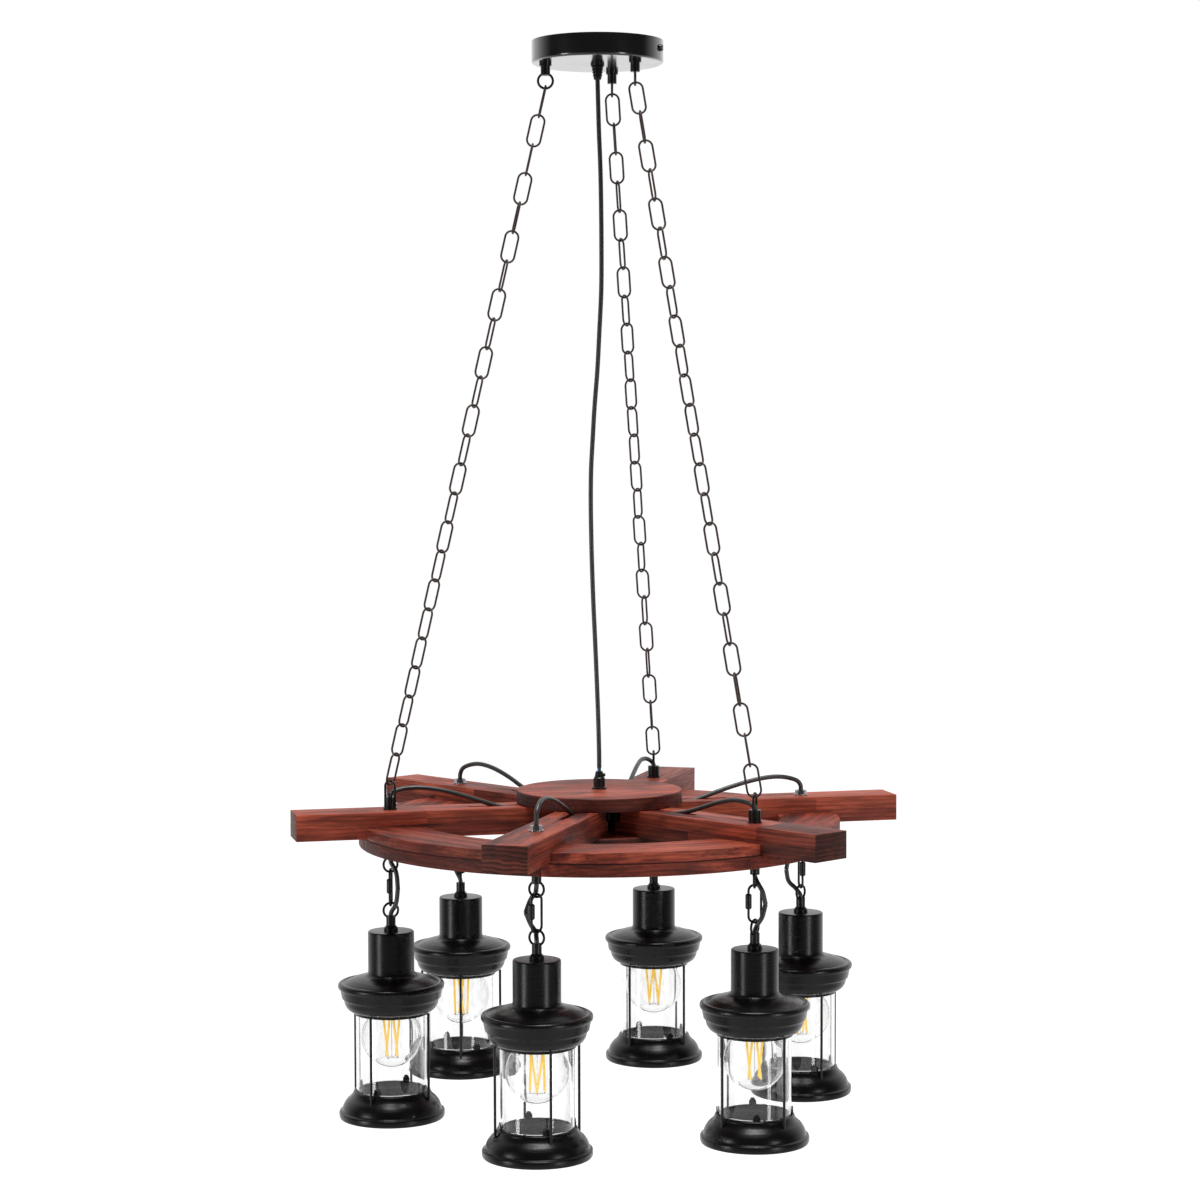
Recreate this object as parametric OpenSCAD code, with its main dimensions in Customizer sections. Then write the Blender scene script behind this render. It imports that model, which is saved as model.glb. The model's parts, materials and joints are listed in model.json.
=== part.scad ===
// Wagon wheel chandelier: a round ceiling canopy, three chains, a timber wheel with six
// spokes, and a glass lantern under each spoke. Millimetres, +Z up. The origin is on the
// ceiling, at the middle of the canopy. Spokes and lanterns are lettered a to f,
// anticlockwise from above. The chains go to spokes b, d and f.

/* [Canopy] */
// Outside diameter of the canopy
canopy_d = 126; // [118:1:150]
// Depth of the canopy
canopy_h = 21; // [19:0.5:30]
// Thickness of the canopy's sheet steel
canopy_wall = 1.2; // [0.8:0.1:2]
// Rounding of the canopy's lower edge
canopy_round = 2.5; // [1.5:0.1:4]
// Distance of each chain's ring from the middle of the canopy
canopy_ring_r = 51; // [44:0.5:53]
// Thickness of the nut between the canopy and each ring's collar
canopy_nut_h = 3.5; // [2:0.1:5]
// Pitch circle of the two ceiling screw holes in the bracket
bracket_pcd = 70; // [55:1:80]
// Diameter of the ceiling screw holes
bracket_hole_d = 5.2; // [4:0.1:6]
// Width of the bracket's strip
bracket_w = 20; // [16:1:26]
// Thickness of the bracket's strip
bracket_t = 1.6; // [1.2:0.1:2.5]
// Turn of the bracket and its side screws
bracket_turn = -20; // [-25:1:-10]
// Diameter of the side screws
side_screw_d = 4; // [3:0.1:5]

/* [Chains] */
// Number of links in each chain
chain_links = 24; // [18:1:30]
// Inside length of a chain link
chain_link_in = 28.4; // [24:0.1:32]
// Outside width of a chain link
chain_link_w = 14.8; // [12:0.1:17]
// Wire of a chain link
chain_wire = 2; // [1.6:0.1:2.4]

/* [Wheel] */
// Diameter over the tips of the spokes
wheel_d = 600; // [540:5:700]
// Turn of spoke a from the +X axis
wheel_turn = 14; // [10:1:20]
// Distance of the lantern hangers from the wheel's axis
hanger_r = 205; // [190:1:225]
// Width of a spoke
spoke_w = 42; // [36:1:46]
// Thickness of each of a spoke's two boards
board_t = 12.5; // [10:0.5:16]
// Size of the clipped corners at a spoke's tip
tip_clip = 9; // [4:0.5:14]
// Inside diameter of the rim
rim_in_d = 350; // [320:5:370]
// Outside diameter of the rim
rim_out_d = 465; // [440:5:490]
// Thickness of the rim's upper layer, which sits between the spokes
rim_upper_t = 10; // [8:0.5:12]
// Thickness of the rim's lower layer, which passes under the spokes
rim_lower_t = 12; // [8:0.5:16]
// Diameter of the two hub discs
hub_d = 160; // [150:2:180]
// Thickness of the upper hub disc
hub_top_t = 13; // [10:0.5:16]
// Thickness of the lower hub disc
hub_lower_t = 12; // [8:0.5:14]
// Distance from the axis at which the upper boards end
upper_board_r = 50; // [46:1:56]
// Distance from the axis at which the lower boards end
lower_board_r = 43; // [42:0.5:50]
// Width of the cord groove in the top of each spoke
groove_w = 5.4; // [5:0.1:8]
// Depth of the cord groove
groove_h = 5.2; // [5:0.1:7]

/* [Hangers] */
// Outside diameter of a hanging ring
ring_d = 16.4; // [14:0.1:18]
// Wire of a hanging ring
ring_wire = 2.3; // [1.8:0.1:2.6]
// Diameter of the collar that holds a ring
collar_d = 9; // [8.6:0.1:11]
// Length of the collar that holds a ring
collar_h = 9; // [8:0.5:12]
// Depth to which a ring is set into its collar
ring_seat = 3; // [2.5:0.1:3.5]
// Diameter of the threaded stem of a collar
stem_d = 8; // [7.6:0.1:8.4]
// Outside length of a quick link
quick_len = 37; // [34:0.5:42]
// Outside width of a quick link
quick_w = 13.8; // [12:0.1:15]
// Wire of a quick link
quick_wire = 2.3; // [2:0.1:2.6]
// Diameter of a quick link's screw sleeve
sleeve_d = 5.9; // [5:0.1:6.4]
// Length of a quick link's screw sleeve
sleeve_h = 14; // [10:0.5:16]
// Diameter of the chain loops' collars on the wheel
loop_collar_d = 11.6; // [10.5:0.1:13]
// Height of the chain loops' collars
loop_collar_h = 12; // [9:0.5:15]
// Height of a chain loop above its collar
loop_h = 16.4; // [14:0.2:19]
// Outside width of a chain loop
loop_w = 13; // [12:0.1:14]
// Wire of a chain loop
loop_wire = 2.4; // [2:0.1:2.8]

/* [Lantern] */
// Diameter of the cup at the top of a lantern
cup_d = 44; // [40:0.5:50]
// Height of the cup
cup_h = 42; // [38:0.5:55]
// Diameter over the brim of the cap
brim_d = 101.6; // [94:0.2:110]
// Fall of the brim from the cup to its edge
brim_h = 9; // [6:0.5:14]
// Height of the brim's edge
lip_h = 4; // [2.5:0.1:6]
// Height of the stepped bowl under the brim
bowl_h = 21.5; // [15:0.5:25]
// Diameter of the band at the foot of the cap
band_d = 70.8; // [70.4:0.1:73]
// Height of that band
band_h = 2.6; // [1.5:0.1:5]
// Thickness of a lantern's spun sheet metal
shade_wall = 1; // [0.7:0.05:1.2]
// Height of the window between the cap and the base
window_h = 73.4; // [65:0.5:90]
// Outside diameter of the glass
glass_d = 68; // [66.5:0.1:68.4]
// Thickness of the glass
glass_wall = 1.8; // [1.2:0.1:2.2]
// Pitch circle of the four rods
rod_pcd = 79.8; // [78:0.2:82]
// Diameter of a rod
rod_d = 2.5; // [2:0.1:3]
// Diameter of the base
base_d = 100.8; // [94:0.2:110]
// Height of the base
base_h = 26.5; // [24:0.5:34]
// Diameter of the hole in the top of the base, through which the bulb is changed
base_hole_d = 62; // [60:0.5:63]

/* [Bulb and holder] */
// Diameter of the bulb
bulb_d = 58; // [55:0.5:60]
// Length of the bulb
bulb_h = 108; // [103:0.5:114]
// Depth of the bulb's bottom under the top of the cup
bulb_drop = 130.9; // [128:0.1:136]
// Diameter of the bulb's screw cap
screw_cap_d = 26.2; // [26:0.1:26.4]
// Diameter of the lamp holder
holder_d = 36; // [32:0.5:38]

/* [Cords] */
// Diameter of the cords
cord_d = 4.4; // [4:0.1:4.8]

/* [Hidden] */

$fn = 48;
black = [0.09, 0.09, 0.09];
black_plastic = [0.06, 0.06, 0.065];
chain_brown = [0.2, 0.16, 0.14];
nickel = [0.72, 0.72, 0.72];
mahogany = [0.58, 0.29, 0.24];
mahogany_dark = [0.4, 0.18, 0.15];
clear_glass = [0.85, 0.9, 0.92, 0.35];
ceramic = [0.9, 0.89, 0.85];

spokes = 6;
spoke_pitch = 360 / spokes;
// Gap between two pieces that hang in each other
wire_gap = 0.15;
// Gap between the last chain link and its loop, which the sway of the wheel takes up
loop_gap = 1.25;
// Clearance of a screw or a stem in its hole
hole_gap = 0.4;
// Clearance between pieces that stand on or in each other
seat_gap = 0.1;

// Rings, quick links and lanterns are each turned a little differently, as they hang
top_ring_turns = [10, 0, 90, 25, -20, 80];
quick_link_turns = [105, 85, 0, 85, 40, 0];
low_ring_turns = [50, 10, 90, 15, -20, 58];
lantern_turns = [27, 50, 2, 65, 19, 39];
// Turns of the glass tabs and of the bulbs' filaments, from the +X axis
tab_turns = [20, 27, 30, -20, 15, 0];
bulb_turns = [20, 0, 70, 15, 45, 10];
// Directions in which each drop cord leaves its upper collar, bows out, and reaches its lower collar
drop_cord_turns = [[147, 165, 167], [132, 120, 137], [135, 150, 135], [-35, -40, -40],
    [100, 150, 100], [-50, -25, -61]];

// --- Levels ---
ring_mid_r = (ring_d - ring_wire) / 2;
canopy_ring_z = -canopy_h - canopy_nut_h - collar_h + ring_seat - ring_d / 2;
// Upper side of the wire at the bottom of a canopy ring, on which the first link hangs
hook_z = canopy_ring_z - ring_mid_r + ring_wire / 2;
chain_pitch = chain_link_in - wire_gap;
chain_len = chain_links * chain_pitch - loop_gap;
chain_run = hanger_r - canopy_ring_r;
chain_fall = sqrt(chain_len * chain_len - chain_run * chain_run);
chain_tilt = asin(chain_run / chain_len);
crown_z = hook_z - chain_fall;
// Top face of the spokes
wheel_z = crown_z - loop_collar_h - loop_h + loop_wire;
spoke_h = 2 * board_t;
rim_z = wheel_z - spoke_h - rim_lower_t;

flange_h = 1.5;
flange_d = 12;
hanger_ring_z = rim_z - flange_h - collar_h + ring_seat - ring_d / 2;
quick_in = quick_len - 2 * quick_wire;
quick_top_z = hanger_ring_z - ring_mid_r + ring_wire / 2 + wire_gap;
quick_z = quick_top_z - quick_in / 2;
lantern_ring_z = quick_top_z - quick_in + wire_gap + ring_wire / 2 - ring_mid_r;
bell_nut_h = 5.3;
bell_nut_d = 13.6;
cup_z = lantern_ring_z - ring_d / 2 + ring_seat - collar_h - bell_nut_h;
cap_h = cup_h + brim_h + lip_h + bowl_h + band_h;
base_z = -cap_h - window_h;

nut_h = 4.2;
nut_af = 11.8;
washer_h = 1;
washer_d = 16;

// --- Routes of the cords: points chosen along the real ones ---
// Supply cable, from the canopy's grip to the hub's grip: [x, y, z]
grip_h = 15;
hub_grip_h = 17;
supply_points = [[0, 0, -canopy_h - grip_h], [0.3, 0, -48], [1.2, 0.5, -84], [2.4, 1, -115], [3.1, 1, -150],
    [3.4, 0.5, -195], [3.1, 0, -236], [1.2, 0, -275], [-0.8, 0.5, -312], [-3.6, 1, -347], [-5.6, 1, -380],
    [-7.1, 0.5, -408], [-7.5, 0, -437], [-7.2, 0, -466], [-6.6, 0.5, -495], [-5.3, 0.5, -535],
    [-3.7, 0.3, -572], [-2.1, 0.2, -612], [-0.8, 0, -650], [-0.1, 0, -680],
    [0, 0, wheel_z + hub_top_t + hub_grip_h]];
// Lamp cords along the top of each spoke: [distance from the axis, sideways, height above the spoke].
// The first point is at the hanger, and the last is in the hub's cavity.
spoke_cord_points = [
    [[205, 0, 5], [204.6, 0, 10], [200, 0, 15], [188, 1, 18.3], [173, 1, 18.7], [153, 0.5, 15.6],
        [131, 0, 10], [112, 0, 4], [96, 0, -1.2], [84, 0, -2.7], [70, 0, -2.7], [56, 0, -2.7]],
    [[205, 0, 10.5], [205, 0, 13.2], [204.2, 1.2, 15.6], [201, 3.4, 18.4], [193, 5.4, 20.6], [179, 5.8, 21.2],
        [162, 4, 20.2], [142, 2, 16.5], [121, 0.5, 10], [104, 0, 3.2], [92, 0, -1.6], [80, 0, -2.7],
        [56, 0, -2.7]],
    [[205, 0, 5], [204.6, 0, 10], [200, 0, 16.5], [188, -1, 21], [173, -1, 22.4], [153, -0.5, 19.8],
        [131, 0, 13.4], [112, 0, 5.6], [97, 0, -0.4], [85, 0, -2.7], [70, 0, -2.7], [56, 0, -2.7]],
    [[205, 0, 10.5], [205, 0, 13], [204, -0.7, 15], [200.5, -2.2, 17], [191, -3.2, 19], [176, -2, 19.6],
        [157, -1, 17], [137, 0, 11.6], [117, 0, 5], [100, 0, -0.6], [87, 0, -2.7], [70, 0, -2.7],
        [56, 0, -2.7]],
    [[205, 0, 5], [205, 0, 11], [202.5, 0, 18], [194, 0, 24], [180, 0, 25.8], [163, 0, 23.8],
        [141, 0, 18], [119, 0, 10.4], [100, 0, 3.4], [88, 0, -1.4], [78, 0, -2.7], [56, 0, -2.7]],
    [[205, 0, 10.5], [205, 0, 13], [204.2, -0.5, 15], [200, -1.6, 17.4], [190, -2, 18.8], [175, -1, 18],
        [155, 0, 13.2], [136, 0, 7], [118, 0, 1.6], [102, 0, -1.6], [90, 0, -2.7], [76, 0, -2.7],
        [56, 0, -2.7]]];
// Lamp cords between a hanger and its lantern: [depth under the upper collar, distance from its axis],
// and the same again upwards from the lower collar. Their first points are inside the collars.
drop_ends = [[-1.5, 0], [1, 0], [3.5, 0.8], [6.5, 3], [9.5, 5.6]];
// Depth of each cord's shoulder, where it has most of its full bow
drop_shoulder_h = 16;
shoulder_share = 0.84;
drop_bows = [14.5, 10, 10.4, 9.5, 11.5, 10.6];

// --- Small functions ---
function spoke_angle(i) = wheel_turn + spoke_pitch * i;
function unit(v) = v / norm(v);
// Arc from angle a0 to a1, as the points of an outline
function arc(c, r, a0, a1, steps) =
    [for (i = [0:steps]) c + r * [cos(a0 + (a1 - a0) * i / steps), sin(a0 + (a1 - a0) * i / steps)]];
// Outline of a sheet-metal wall: the outer points, and the same points moved in by the wall
function right_normal(a, b) = let (d = unit(b - a)) [d[1], -d[0]];
function mitre(p, i) =
    let (last = len(p) - 1,
         n0 = right_normal(p[max(i - 1, 0)], p[max(i, 1)]),
         n1 = right_normal(p[min(i, last - 1)], p[min(i + 1, last)]))
    (n0 + n1) / (1 + n0 * n1);
function wall_outline(p, wall) =
    concat(p, [for (i = [len(p) - 1:-1:0]) p[i] + wall * mitre(p, i)]);
// Directions along a route of points
function route_point(p, i) =
    i < 0 ? 2 * p[0] - p[1] : i > len(p) - 1 ? 2 * p[len(p) - 1] - p[len(p) - 2] : p[i];
function tangent(p, i) = unit(route_point(p, i + 1) - route_point(p, i - 1));
function square_to(v, t) = unit(v - (v * t) * t);
function turn_about_z(v, a) = [v[0] * cos(a) - v[1] * sin(a), v[0] * sin(a) + v[1] * cos(a), v[2]];

// --- General forms ---
module cord_tube(points, d, sides = 8) {
    start = abs(tangent(points, 0)[2]) > 0.9 ? [1, 0, 0] : [0, 0, 1];
    normals = [for (i = 0, n = square_to(start, tangent(points, 0)); i < len(points);
        i = i + 1, n = i < len(points) ? square_to(n, tangent(points, i)) : n) n];
    rings = [for (i = [0:len(points) - 1])
        let (u = normals[i], w = cross(tangent(points, i), u))
        for (k = [0:sides - 1])
            points[i] + d / 2 * (cos(360 * k / sides) * u + sin(360 * k / sides) * w)];
    last = (len(points) - 1) * sides;
    sides_faces = [for (i = [0:len(points) - 2]) for (k = [0:sides - 1])
        let (a = i * sides + k, b = i * sides + (k + 1) % sides)
        [a, a + sides, b + sides, b]];
    polyhedron(points = rings,
        faces = concat([[for (k = [0:sides - 1]) k]], sides_faces,
            [[for (k = [sides - 1:-1:0]) last + k]]));
}

// Oval of round wire in the XZ plane, with its middle at the origin
module wire_oval(inside_len, outside_w, wire) {
    bend_r = (outside_w - wire) / 2;
    leg = inside_len - (outside_w - 2 * wire);
    for (side = [-1, 1]) {
        translate([side * bend_r, 0, -leg / 2]) cylinder(d = wire, h = leg, $fn = 24);
        translate([0, 0, side * leg / 2]) rotate([90, 0, 0])
            rotate_extrude(angle = side * 180) translate([bend_r, 0]) circle(d = wire, $fn = 24);
    }
}

// Round ring in the XZ plane
module hanging_ring() {
    rotate([90, 0, 0]) rotate_extrude() translate([ring_mid_r, 0]) circle(d = ring_wire, $fn = 24);
}

// Round ring set into the end of its collar. The collar's top is at the origin.
module collar_with_ring(turn) {
    rotate([0, 0, turn]) {
        translate([0, 0, -collar_h]) cylinder(d = collar_d, h = collar_h);
        translate([0, 0, -collar_h + ring_seat - ring_d / 2]) hanging_ring();
    }
}

module hex_nut(across_flats, height, bore) {
    difference() {
        cylinder(d = across_flats / cos(30), h = height, $fn = 6);
        translate([0, 0, -1]) cylinder(d = bore, h = height + 2);
    }
}

module at_spoke(i) {
    rotate([0, 0, spoke_angle(i)]) children();
}

module at_hanger(i) {
    rotate([0, 0, spoke_angle(i)]) translate([hanger_r, 0, 0]) rotate([0, 0, -spoke_angle(i)]) children();
}

module at_canopy_ring(i) {
    rotate([0, 0, spoke_angle(i)]) translate([canopy_ring_r, 0, 0])
        rotate([0, 0, -spoke_angle(i)]) children();
}

// --- Canopy ---
screw_z = -9;
module canopy_pan() {
    r = canopy_d / 2;
    outline = concat([[r, 0]],
        arc([r - canopy_round, canopy_round - canopy_h], canopy_round, 0, -90, 4), [[0, -canopy_h]]);
    wall_points = concat([for (p = outline) p],
        [[0, canopy_wall - canopy_h]],
        arc([r - canopy_round, canopy_round - canopy_h], canopy_round - canopy_wall, -90, 0, 4),
        [[r - canopy_wall, 0]]);
    color(black) difference() {
        rotate_extrude($fn = 96) polygon(wall_points);
        translate([0, 0, -canopy_h - 1]) cylinder(d = stem_d + hole_gap, h = canopy_h);
        for (i = [1, 3, 5]) at_canopy_ring(i)
            translate([0, 0, -canopy_h - 1]) cylinder(d = stem_d + hole_gap, h = canopy_h);
        for (side = [0, 180]) rotate([0, 0, bracket_turn + side])
            translate([r - 5, 0, screw_z]) rotate([0, 90, 0]) cylinder(d = side_screw_d + hole_gap, h = 10);
    }
}

// Strip that is screwed to the ceiling, with the two side screws that hold the canopy on it
module ceiling_bracket() {
    tab_r = canopy_d / 2 - canopy_wall - 2;
    color(nickel) rotate([0, 0, bracket_turn]) difference() {
        union() {
            translate([-tab_r, -bracket_w / 2, -bracket_t]) cube([2 * tab_r, bracket_w, bracket_t]);
            for (side = [-1, 1])
                translate([side > 0 ? tab_r - bracket_t : -tab_r, -bracket_w / 2, screw_z - side_screw_d])
                    cube([bracket_t, bracket_w, side_screw_d - screw_z]);
        }
        for (side = [-1, 1]) {
            translate([side * bracket_pcd / 2, 0, -bracket_t - 1])
                cylinder(d = bracket_hole_d, h = bracket_t + 2);
            translate([side * tab_r, 0, screw_z]) rotate([0, 90, 0])
                cylinder(d = side_screw_d + 0.1, h = 3 * bracket_t + 4, center = true);
        }
    }
    head_d = 7;
    head_h = 2.4;
    for (side = [0, 180]) color(black) rotate([0, 0, bracket_turn + side])
        translate([canopy_d / 2 + 0.1, 0, screw_z]) rotate([0, 90, 0]) {
            translate([0, 0, -8]) cylinder(d = side_screw_d - 0.1, h = 8);
            difference() {
                cylinder(d1 = head_d, d2 = head_d - 1.4, h = head_h);
                for (turn = [0, 90]) rotate([0, 0, turn])
                    translate([-head_d / 2, -0.5, head_h - 1]) cube([head_d, 1, 2]);
            }
        }
}

// Stem, lock nut, nut, collar and ring for each chain
module canopy_hangers() {
    lock_nut_h = 3;
    color(black) for (i = [1, 3, 5]) at_canopy_ring(i) {
        translate([0, 0, -canopy_h]) {
            cylinder(d = stem_d, h = canopy_wall + lock_nut_h + 1.5);
            translate([0, 0, -canopy_nut_h]) cylinder(d = nut_af, h = canopy_nut_h);
            translate([0, 0, -canopy_nut_h]) collar_with_ring(i == 3 ? 0 : 90);
        }
        translate([0, 0, canopy_wall - canopy_h + seat_gap]) hex_nut(nut_af + 1, lock_nut_h, stem_d + 0.1);
    }
}

// Plastic grip that holds the supply cable, tapered and ribbed
module canopy_cord_grip() {
    top_r = 5.6;
    tip_r = 3.8;
    ribs = 4;
    body = [for (k = [0:ribs - 1]) let (z = -2 - k * (grip_h - 4) / ribs, step = (grip_h - 4) / ribs)
        for (p = [[0, 0], [0.35, -step * 0.5], [-0.35, -step * 0.5]])
            [top_r + (tip_r - top_r) * (-2 - z) / (grip_h - 4) + p[0], z + p[1]]];
    color(black_plastic) translate([0, 0, -canopy_h]) difference() {
        union() {
            rotate_extrude() polygon(concat([[0, 0], [top_r + 1, 0], [top_r + 1, -2]], body,
                [[tip_r, -grip_h + 1], [tip_r - 0.5, -grip_h], [0, -grip_h]]));
            cylinder(d = stem_d, h = canopy_wall + 6);
        }
        translate([0, 0, -grip_h - 1]) cylinder(d = cord_d + 0.3, h = grip_h + canopy_wall + 9);
    }
    color(black_plastic) translate([0, 0, canopy_wall - canopy_h + seat_gap])
        hex_nut(nut_af + 2, 3.5, stem_d + 0.1);
}

// Screw terminals for the house wiring, standing on the canopy's floor
module screw_terminals(length, width, height, ways) {
    pitch = length / ways;
    difference() {
        union() {
            translate([-length / 2, -width / 2, 0]) cube([length, width, height * 0.6]);
            for (k = [0:ways - 1]) translate([-length / 2 + pitch * (k + 0.5), 0, height * 0.6])
                cylinder(d = pitch * 0.8, h = height * 0.4, $fn = 24);
        }
        for (k = [0:ways - 1]) translate([-length / 2 + pitch * (k + 0.5), 0, height * 0.6])
            cylinder(d = pitch * 0.4, h = height, $fn = 24);
    }
}

module terminal_block() {
    color(ceramic) translate([-16, 27, canopy_wall - canopy_h + seat_gap]) rotate([0, 0, 32])
        screw_terminals(30, 14, 13, 3);
}

// --- Chains ---
first_face = [0, 0, 0, 90, 0, 0];
// Turn of the whole chain from its first link to its last, beyond a quarter turn for each link
chain_twists = [0, 90, 0, 58, 0, 90];
function link_face(i, k) = first_face[i] + 90 * k + chain_twists[i] * k / (chain_links - 1);

// Link k of the chain to spoke i, counted from the canopy
module chain_link(i, k) {
    at_canopy_ring(i) translate([0, 0, hook_z]) rotate([0, 0, spoke_angle(i)])
        rotate([0, -chain_tilt, 0])
            translate([0, 0, wire_gap - chain_link_in / 2 - k * chain_pitch])
                rotate([0, 0, link_face(i, k) - spoke_angle(i)])
                    wire_oval(chain_link_in, chain_link_w, chain_wire);
}

module chain_top_link(i) {
    color(chain_brown) chain_link(i, 0);
}

module chain(i) {
    color(chain_brown) for (k = [1:chain_links - 1]) chain_link(i, k);
}

module chain_b_top_link() { chain_top_link(1); }
module chain_d_top_link() { chain_top_link(3); }
module chain_f_top_link() { chain_top_link(5); }
module chain_b() { chain(1); }
module chain_d() { chain(3); }
module chain_f() { chain(5); }

// --- Wheel ---
module hub_disc(z, thickness, hole_d) {
    ease = 0.8;
    r = hub_d / 2;
    translate([0, 0, z]) difference() {
        rotate_extrude($fn = 96) polygon([[0, 0], [r - ease, 0], [r, ease], [r, thickness - ease],
            [r - ease, thickness], [0, thickness]]);
        if (hole_d > 0) translate([0, 0, -1]) cylinder(d = hole_d, h = thickness + 2);
    }
}

module hub_top_disc() {
    color(mahogany) hub_disc(wheel_z, hub_top_t, stem_d + hole_gap);
}

module hub_lower_disc() {
    color(mahogany_dark) hub_disc(wheel_z - spoke_h - hub_lower_t, hub_lower_t, 0);
}

module spoke_outline(inner_r) {
    tip = wheel_d / 2;
    side = spoke_w / 2;
    polygon([[inner_r, -side], [tip - tip_clip, -side], [tip, tip_clip - side],
        [tip, side - tip_clip], [tip - tip_clip, side], [inner_r, side]]);
}

module hanger_hole(z, h) {
    translate([hanger_r, 0, z - 1]) cylinder(d = stem_d + hole_gap, h = h + 2);
}

module spoke_upper_boards() {
    groove_start = 130;
    groove_full = 106;
    color(mahogany) for (i = [0:spokes - 1]) at_spoke(i) difference() {
        translate([0, 0, wheel_z - board_t]) linear_extrude(board_t) spoke_outline(upper_board_r);
        hanger_hole(wheel_z - board_t, board_t);
        translate([0, groove_w / 2, wheel_z]) rotate([90, 0, 0]) linear_extrude(groove_w)
            polygon([[upper_board_r - 1, 1], [groove_start + 5, 1], [groove_start, 0],
                [groove_full, -groove_h], [upper_board_r - 1, -groove_h]]);
    }
}

module spoke_lower_boards() {
    color(mahogany_dark) for (i = [0:spokes - 1]) at_spoke(i) difference() {
        translate([0, 0, wheel_z - spoke_h]) linear_extrude(board_t) spoke_outline(lower_board_r);
        hanger_hole(wheel_z - spoke_h, board_t);
    }
}

module rim_ring(z, h) {
    translate([0, 0, z]) difference() {
        cylinder(d = rim_out_d, h = h, $fn = 180);
        translate([0, 0, -1]) cylinder(d = rim_in_d, h = h + 2, $fn = 180);
    }
}

// Six segments let in between the spokes
module rim_upper_segments() {
    color(mahogany) difference() {
        rim_ring(wheel_z - spoke_h, rim_upper_t);
        for (i = [0:spokes - 1]) at_spoke(i)
            translate([0, -spoke_w / 2, wheel_z - spoke_h - 1]) cube([wheel_d, spoke_w, rim_upper_t + 2]);
    }
}

// Six segments under the spokes, with their butt joints under the spokes' left sides
module rim_lower_segments() {
    joint_gap = 0.3;
    joint_side = 12;
    color(mahogany_dark) difference() {
        rim_ring(rim_z, rim_lower_t);
        for (i = [0:spokes - 1]) at_spoke(i) {
            hanger_hole(rim_z, rim_lower_t);
            translate([0, joint_side, rim_z - 1]) cube([wheel_d, joint_gap, rim_lower_t + 2]);
        }
    }
}

// Plastic grip on the hub: ribbed body, tapered top and a small clamping screw
module hub_cord_grip() {
    base_r = 7;
    body_r = 5.6;
    body_h = 10.5;
    tip_r = 3.4;
    ribs = 14;
    color(black_plastic) translate([0, 0, wheel_z + hub_top_t]) difference() {
        union() {
            rotate_extrude() polygon([[0, 0], [base_r, 0], [base_r, 1.6], [body_r, 2.2], [body_r, body_h],
                [body_r - 0.9, body_h + 1], [tip_r + 0.3, hub_grip_h - 1.2], [tip_r, hub_grip_h],
                [0, hub_grip_h]]);
            translate([0, 0, -hub_top_t - 4]) cylinder(d = stem_d, h = hub_top_t + 4);
            translate([tip_r, 0, body_h + 3]) rotate([0, 90, 0]) cylinder(d = 3.2, h = 2.6);
        }
        for (k = [0:ribs - 1]) rotate([0, 0, (k + 0.5) * 360 / ribs])
            translate([body_r - 0.4, -0.4, 2.8]) cube([2, 0.8, body_h - 3.6]);
        translate([0, 0, -hub_top_t - 5]) cylinder(d = cord_d + 0.3, h = hub_top_t + hub_grip_h + 6);
    }
}

hub_block = [36, 16, 13];
module hub_terminal_block() {
    color(ceramic) translate([0, 0, wheel_z - spoke_h + seat_gap]) rotate([0, 0, wheel_turn])
        screw_terminals(hub_block[0], hub_block[1], hub_block[2], 3);
}

// Collar with a tall loop of wire, which the last link of a chain hangs in
loop_turns = [0, 90, 0, -28, 0, 72];
module chain_loops() {
    bend_r = (loop_w - loop_wire) / 2;
    leg = loop_h - loop_w / 2;
    knurls = 12;
    color(black) for (i = [1, 3, 5]) at_hanger(i) translate([0, 0, wheel_z]) difference() {
        union() {
            cylinder(d = loop_collar_d + 1.6, h = 1.4);
            cylinder(d = loop_collar_d, h = loop_collar_h);
            rotate([0, 0, loop_turns[i]]) translate([0, 0, loop_collar_h]) {
                for (side = [-1, 1]) translate([side * bend_r, 0, -1])
                    cylinder(d = loop_wire, h = leg + 1, $fn = 24);
                translate([0, 0, leg]) rotate([90, 0, 0])
                    rotate_extrude(angle = 180) translate([bend_r, 0]) circle(d = loop_wire, $fn = 24);
            }
        }
        for (k = [0:knurls - 1]) rotate([0, 0, (k + 0.5) * 360 / knurls])
            translate([loop_collar_d / 2 - 0.5, -0.45, 2.2]) cube([2, 0.9, loop_collar_h - 4]);
        translate([0, 0, -1]) cylinder(d = stem_d + 0.1, h = loop_collar_h - 1.5);
        translate([0, 0, loop_collar_h - 2.6]) cylinder(d = cord_d + 0.3, h = 4);
    }
}

// Bright nut on a washer at the top of the other three hangers
module cord_nuts() {
    for (i = [0, 2, 4]) at_hanger(i) {
        color(black) translate([0, 0, wheel_z]) difference() {
            cylinder(d = washer_d, h = washer_h);
            translate([0, 0, -1]) cylinder(d = stem_d + hole_gap, h = washer_h + 2);
        }
        color(nickel) translate([0, 0, wheel_z + washer_h]) hex_nut(nut_af, nut_h - 0.2, stem_d + 0.1);
    }
}

// Hollow stem through the spoke and the rim, with its collar and ring underneath
module spoke_hangers() {
    color(black) for (i = [0:spokes - 1]) at_hanger(i) {
        top = i % 2 == 1 ? loop_collar_h - 3 : washer_h + nut_h - 0.2;
        difference() {
            union() {
                translate([0, 0, rim_z]) cylinder(d = stem_d, h = wheel_z + top - rim_z);
                translate([0, 0, rim_z - flange_h]) cylinder(d = flange_d, h = flange_h);
                translate([0, 0, rim_z - flange_h]) collar_with_ring(top_ring_turns[i]);
            }
            translate([0, 0, rim_z - flange_h - collar_h - 1])
                cylinder(d = cord_d + 0.3, h = wheel_z + top - rim_z + flange_h + collar_h + 2);
        }
    }
}

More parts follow.
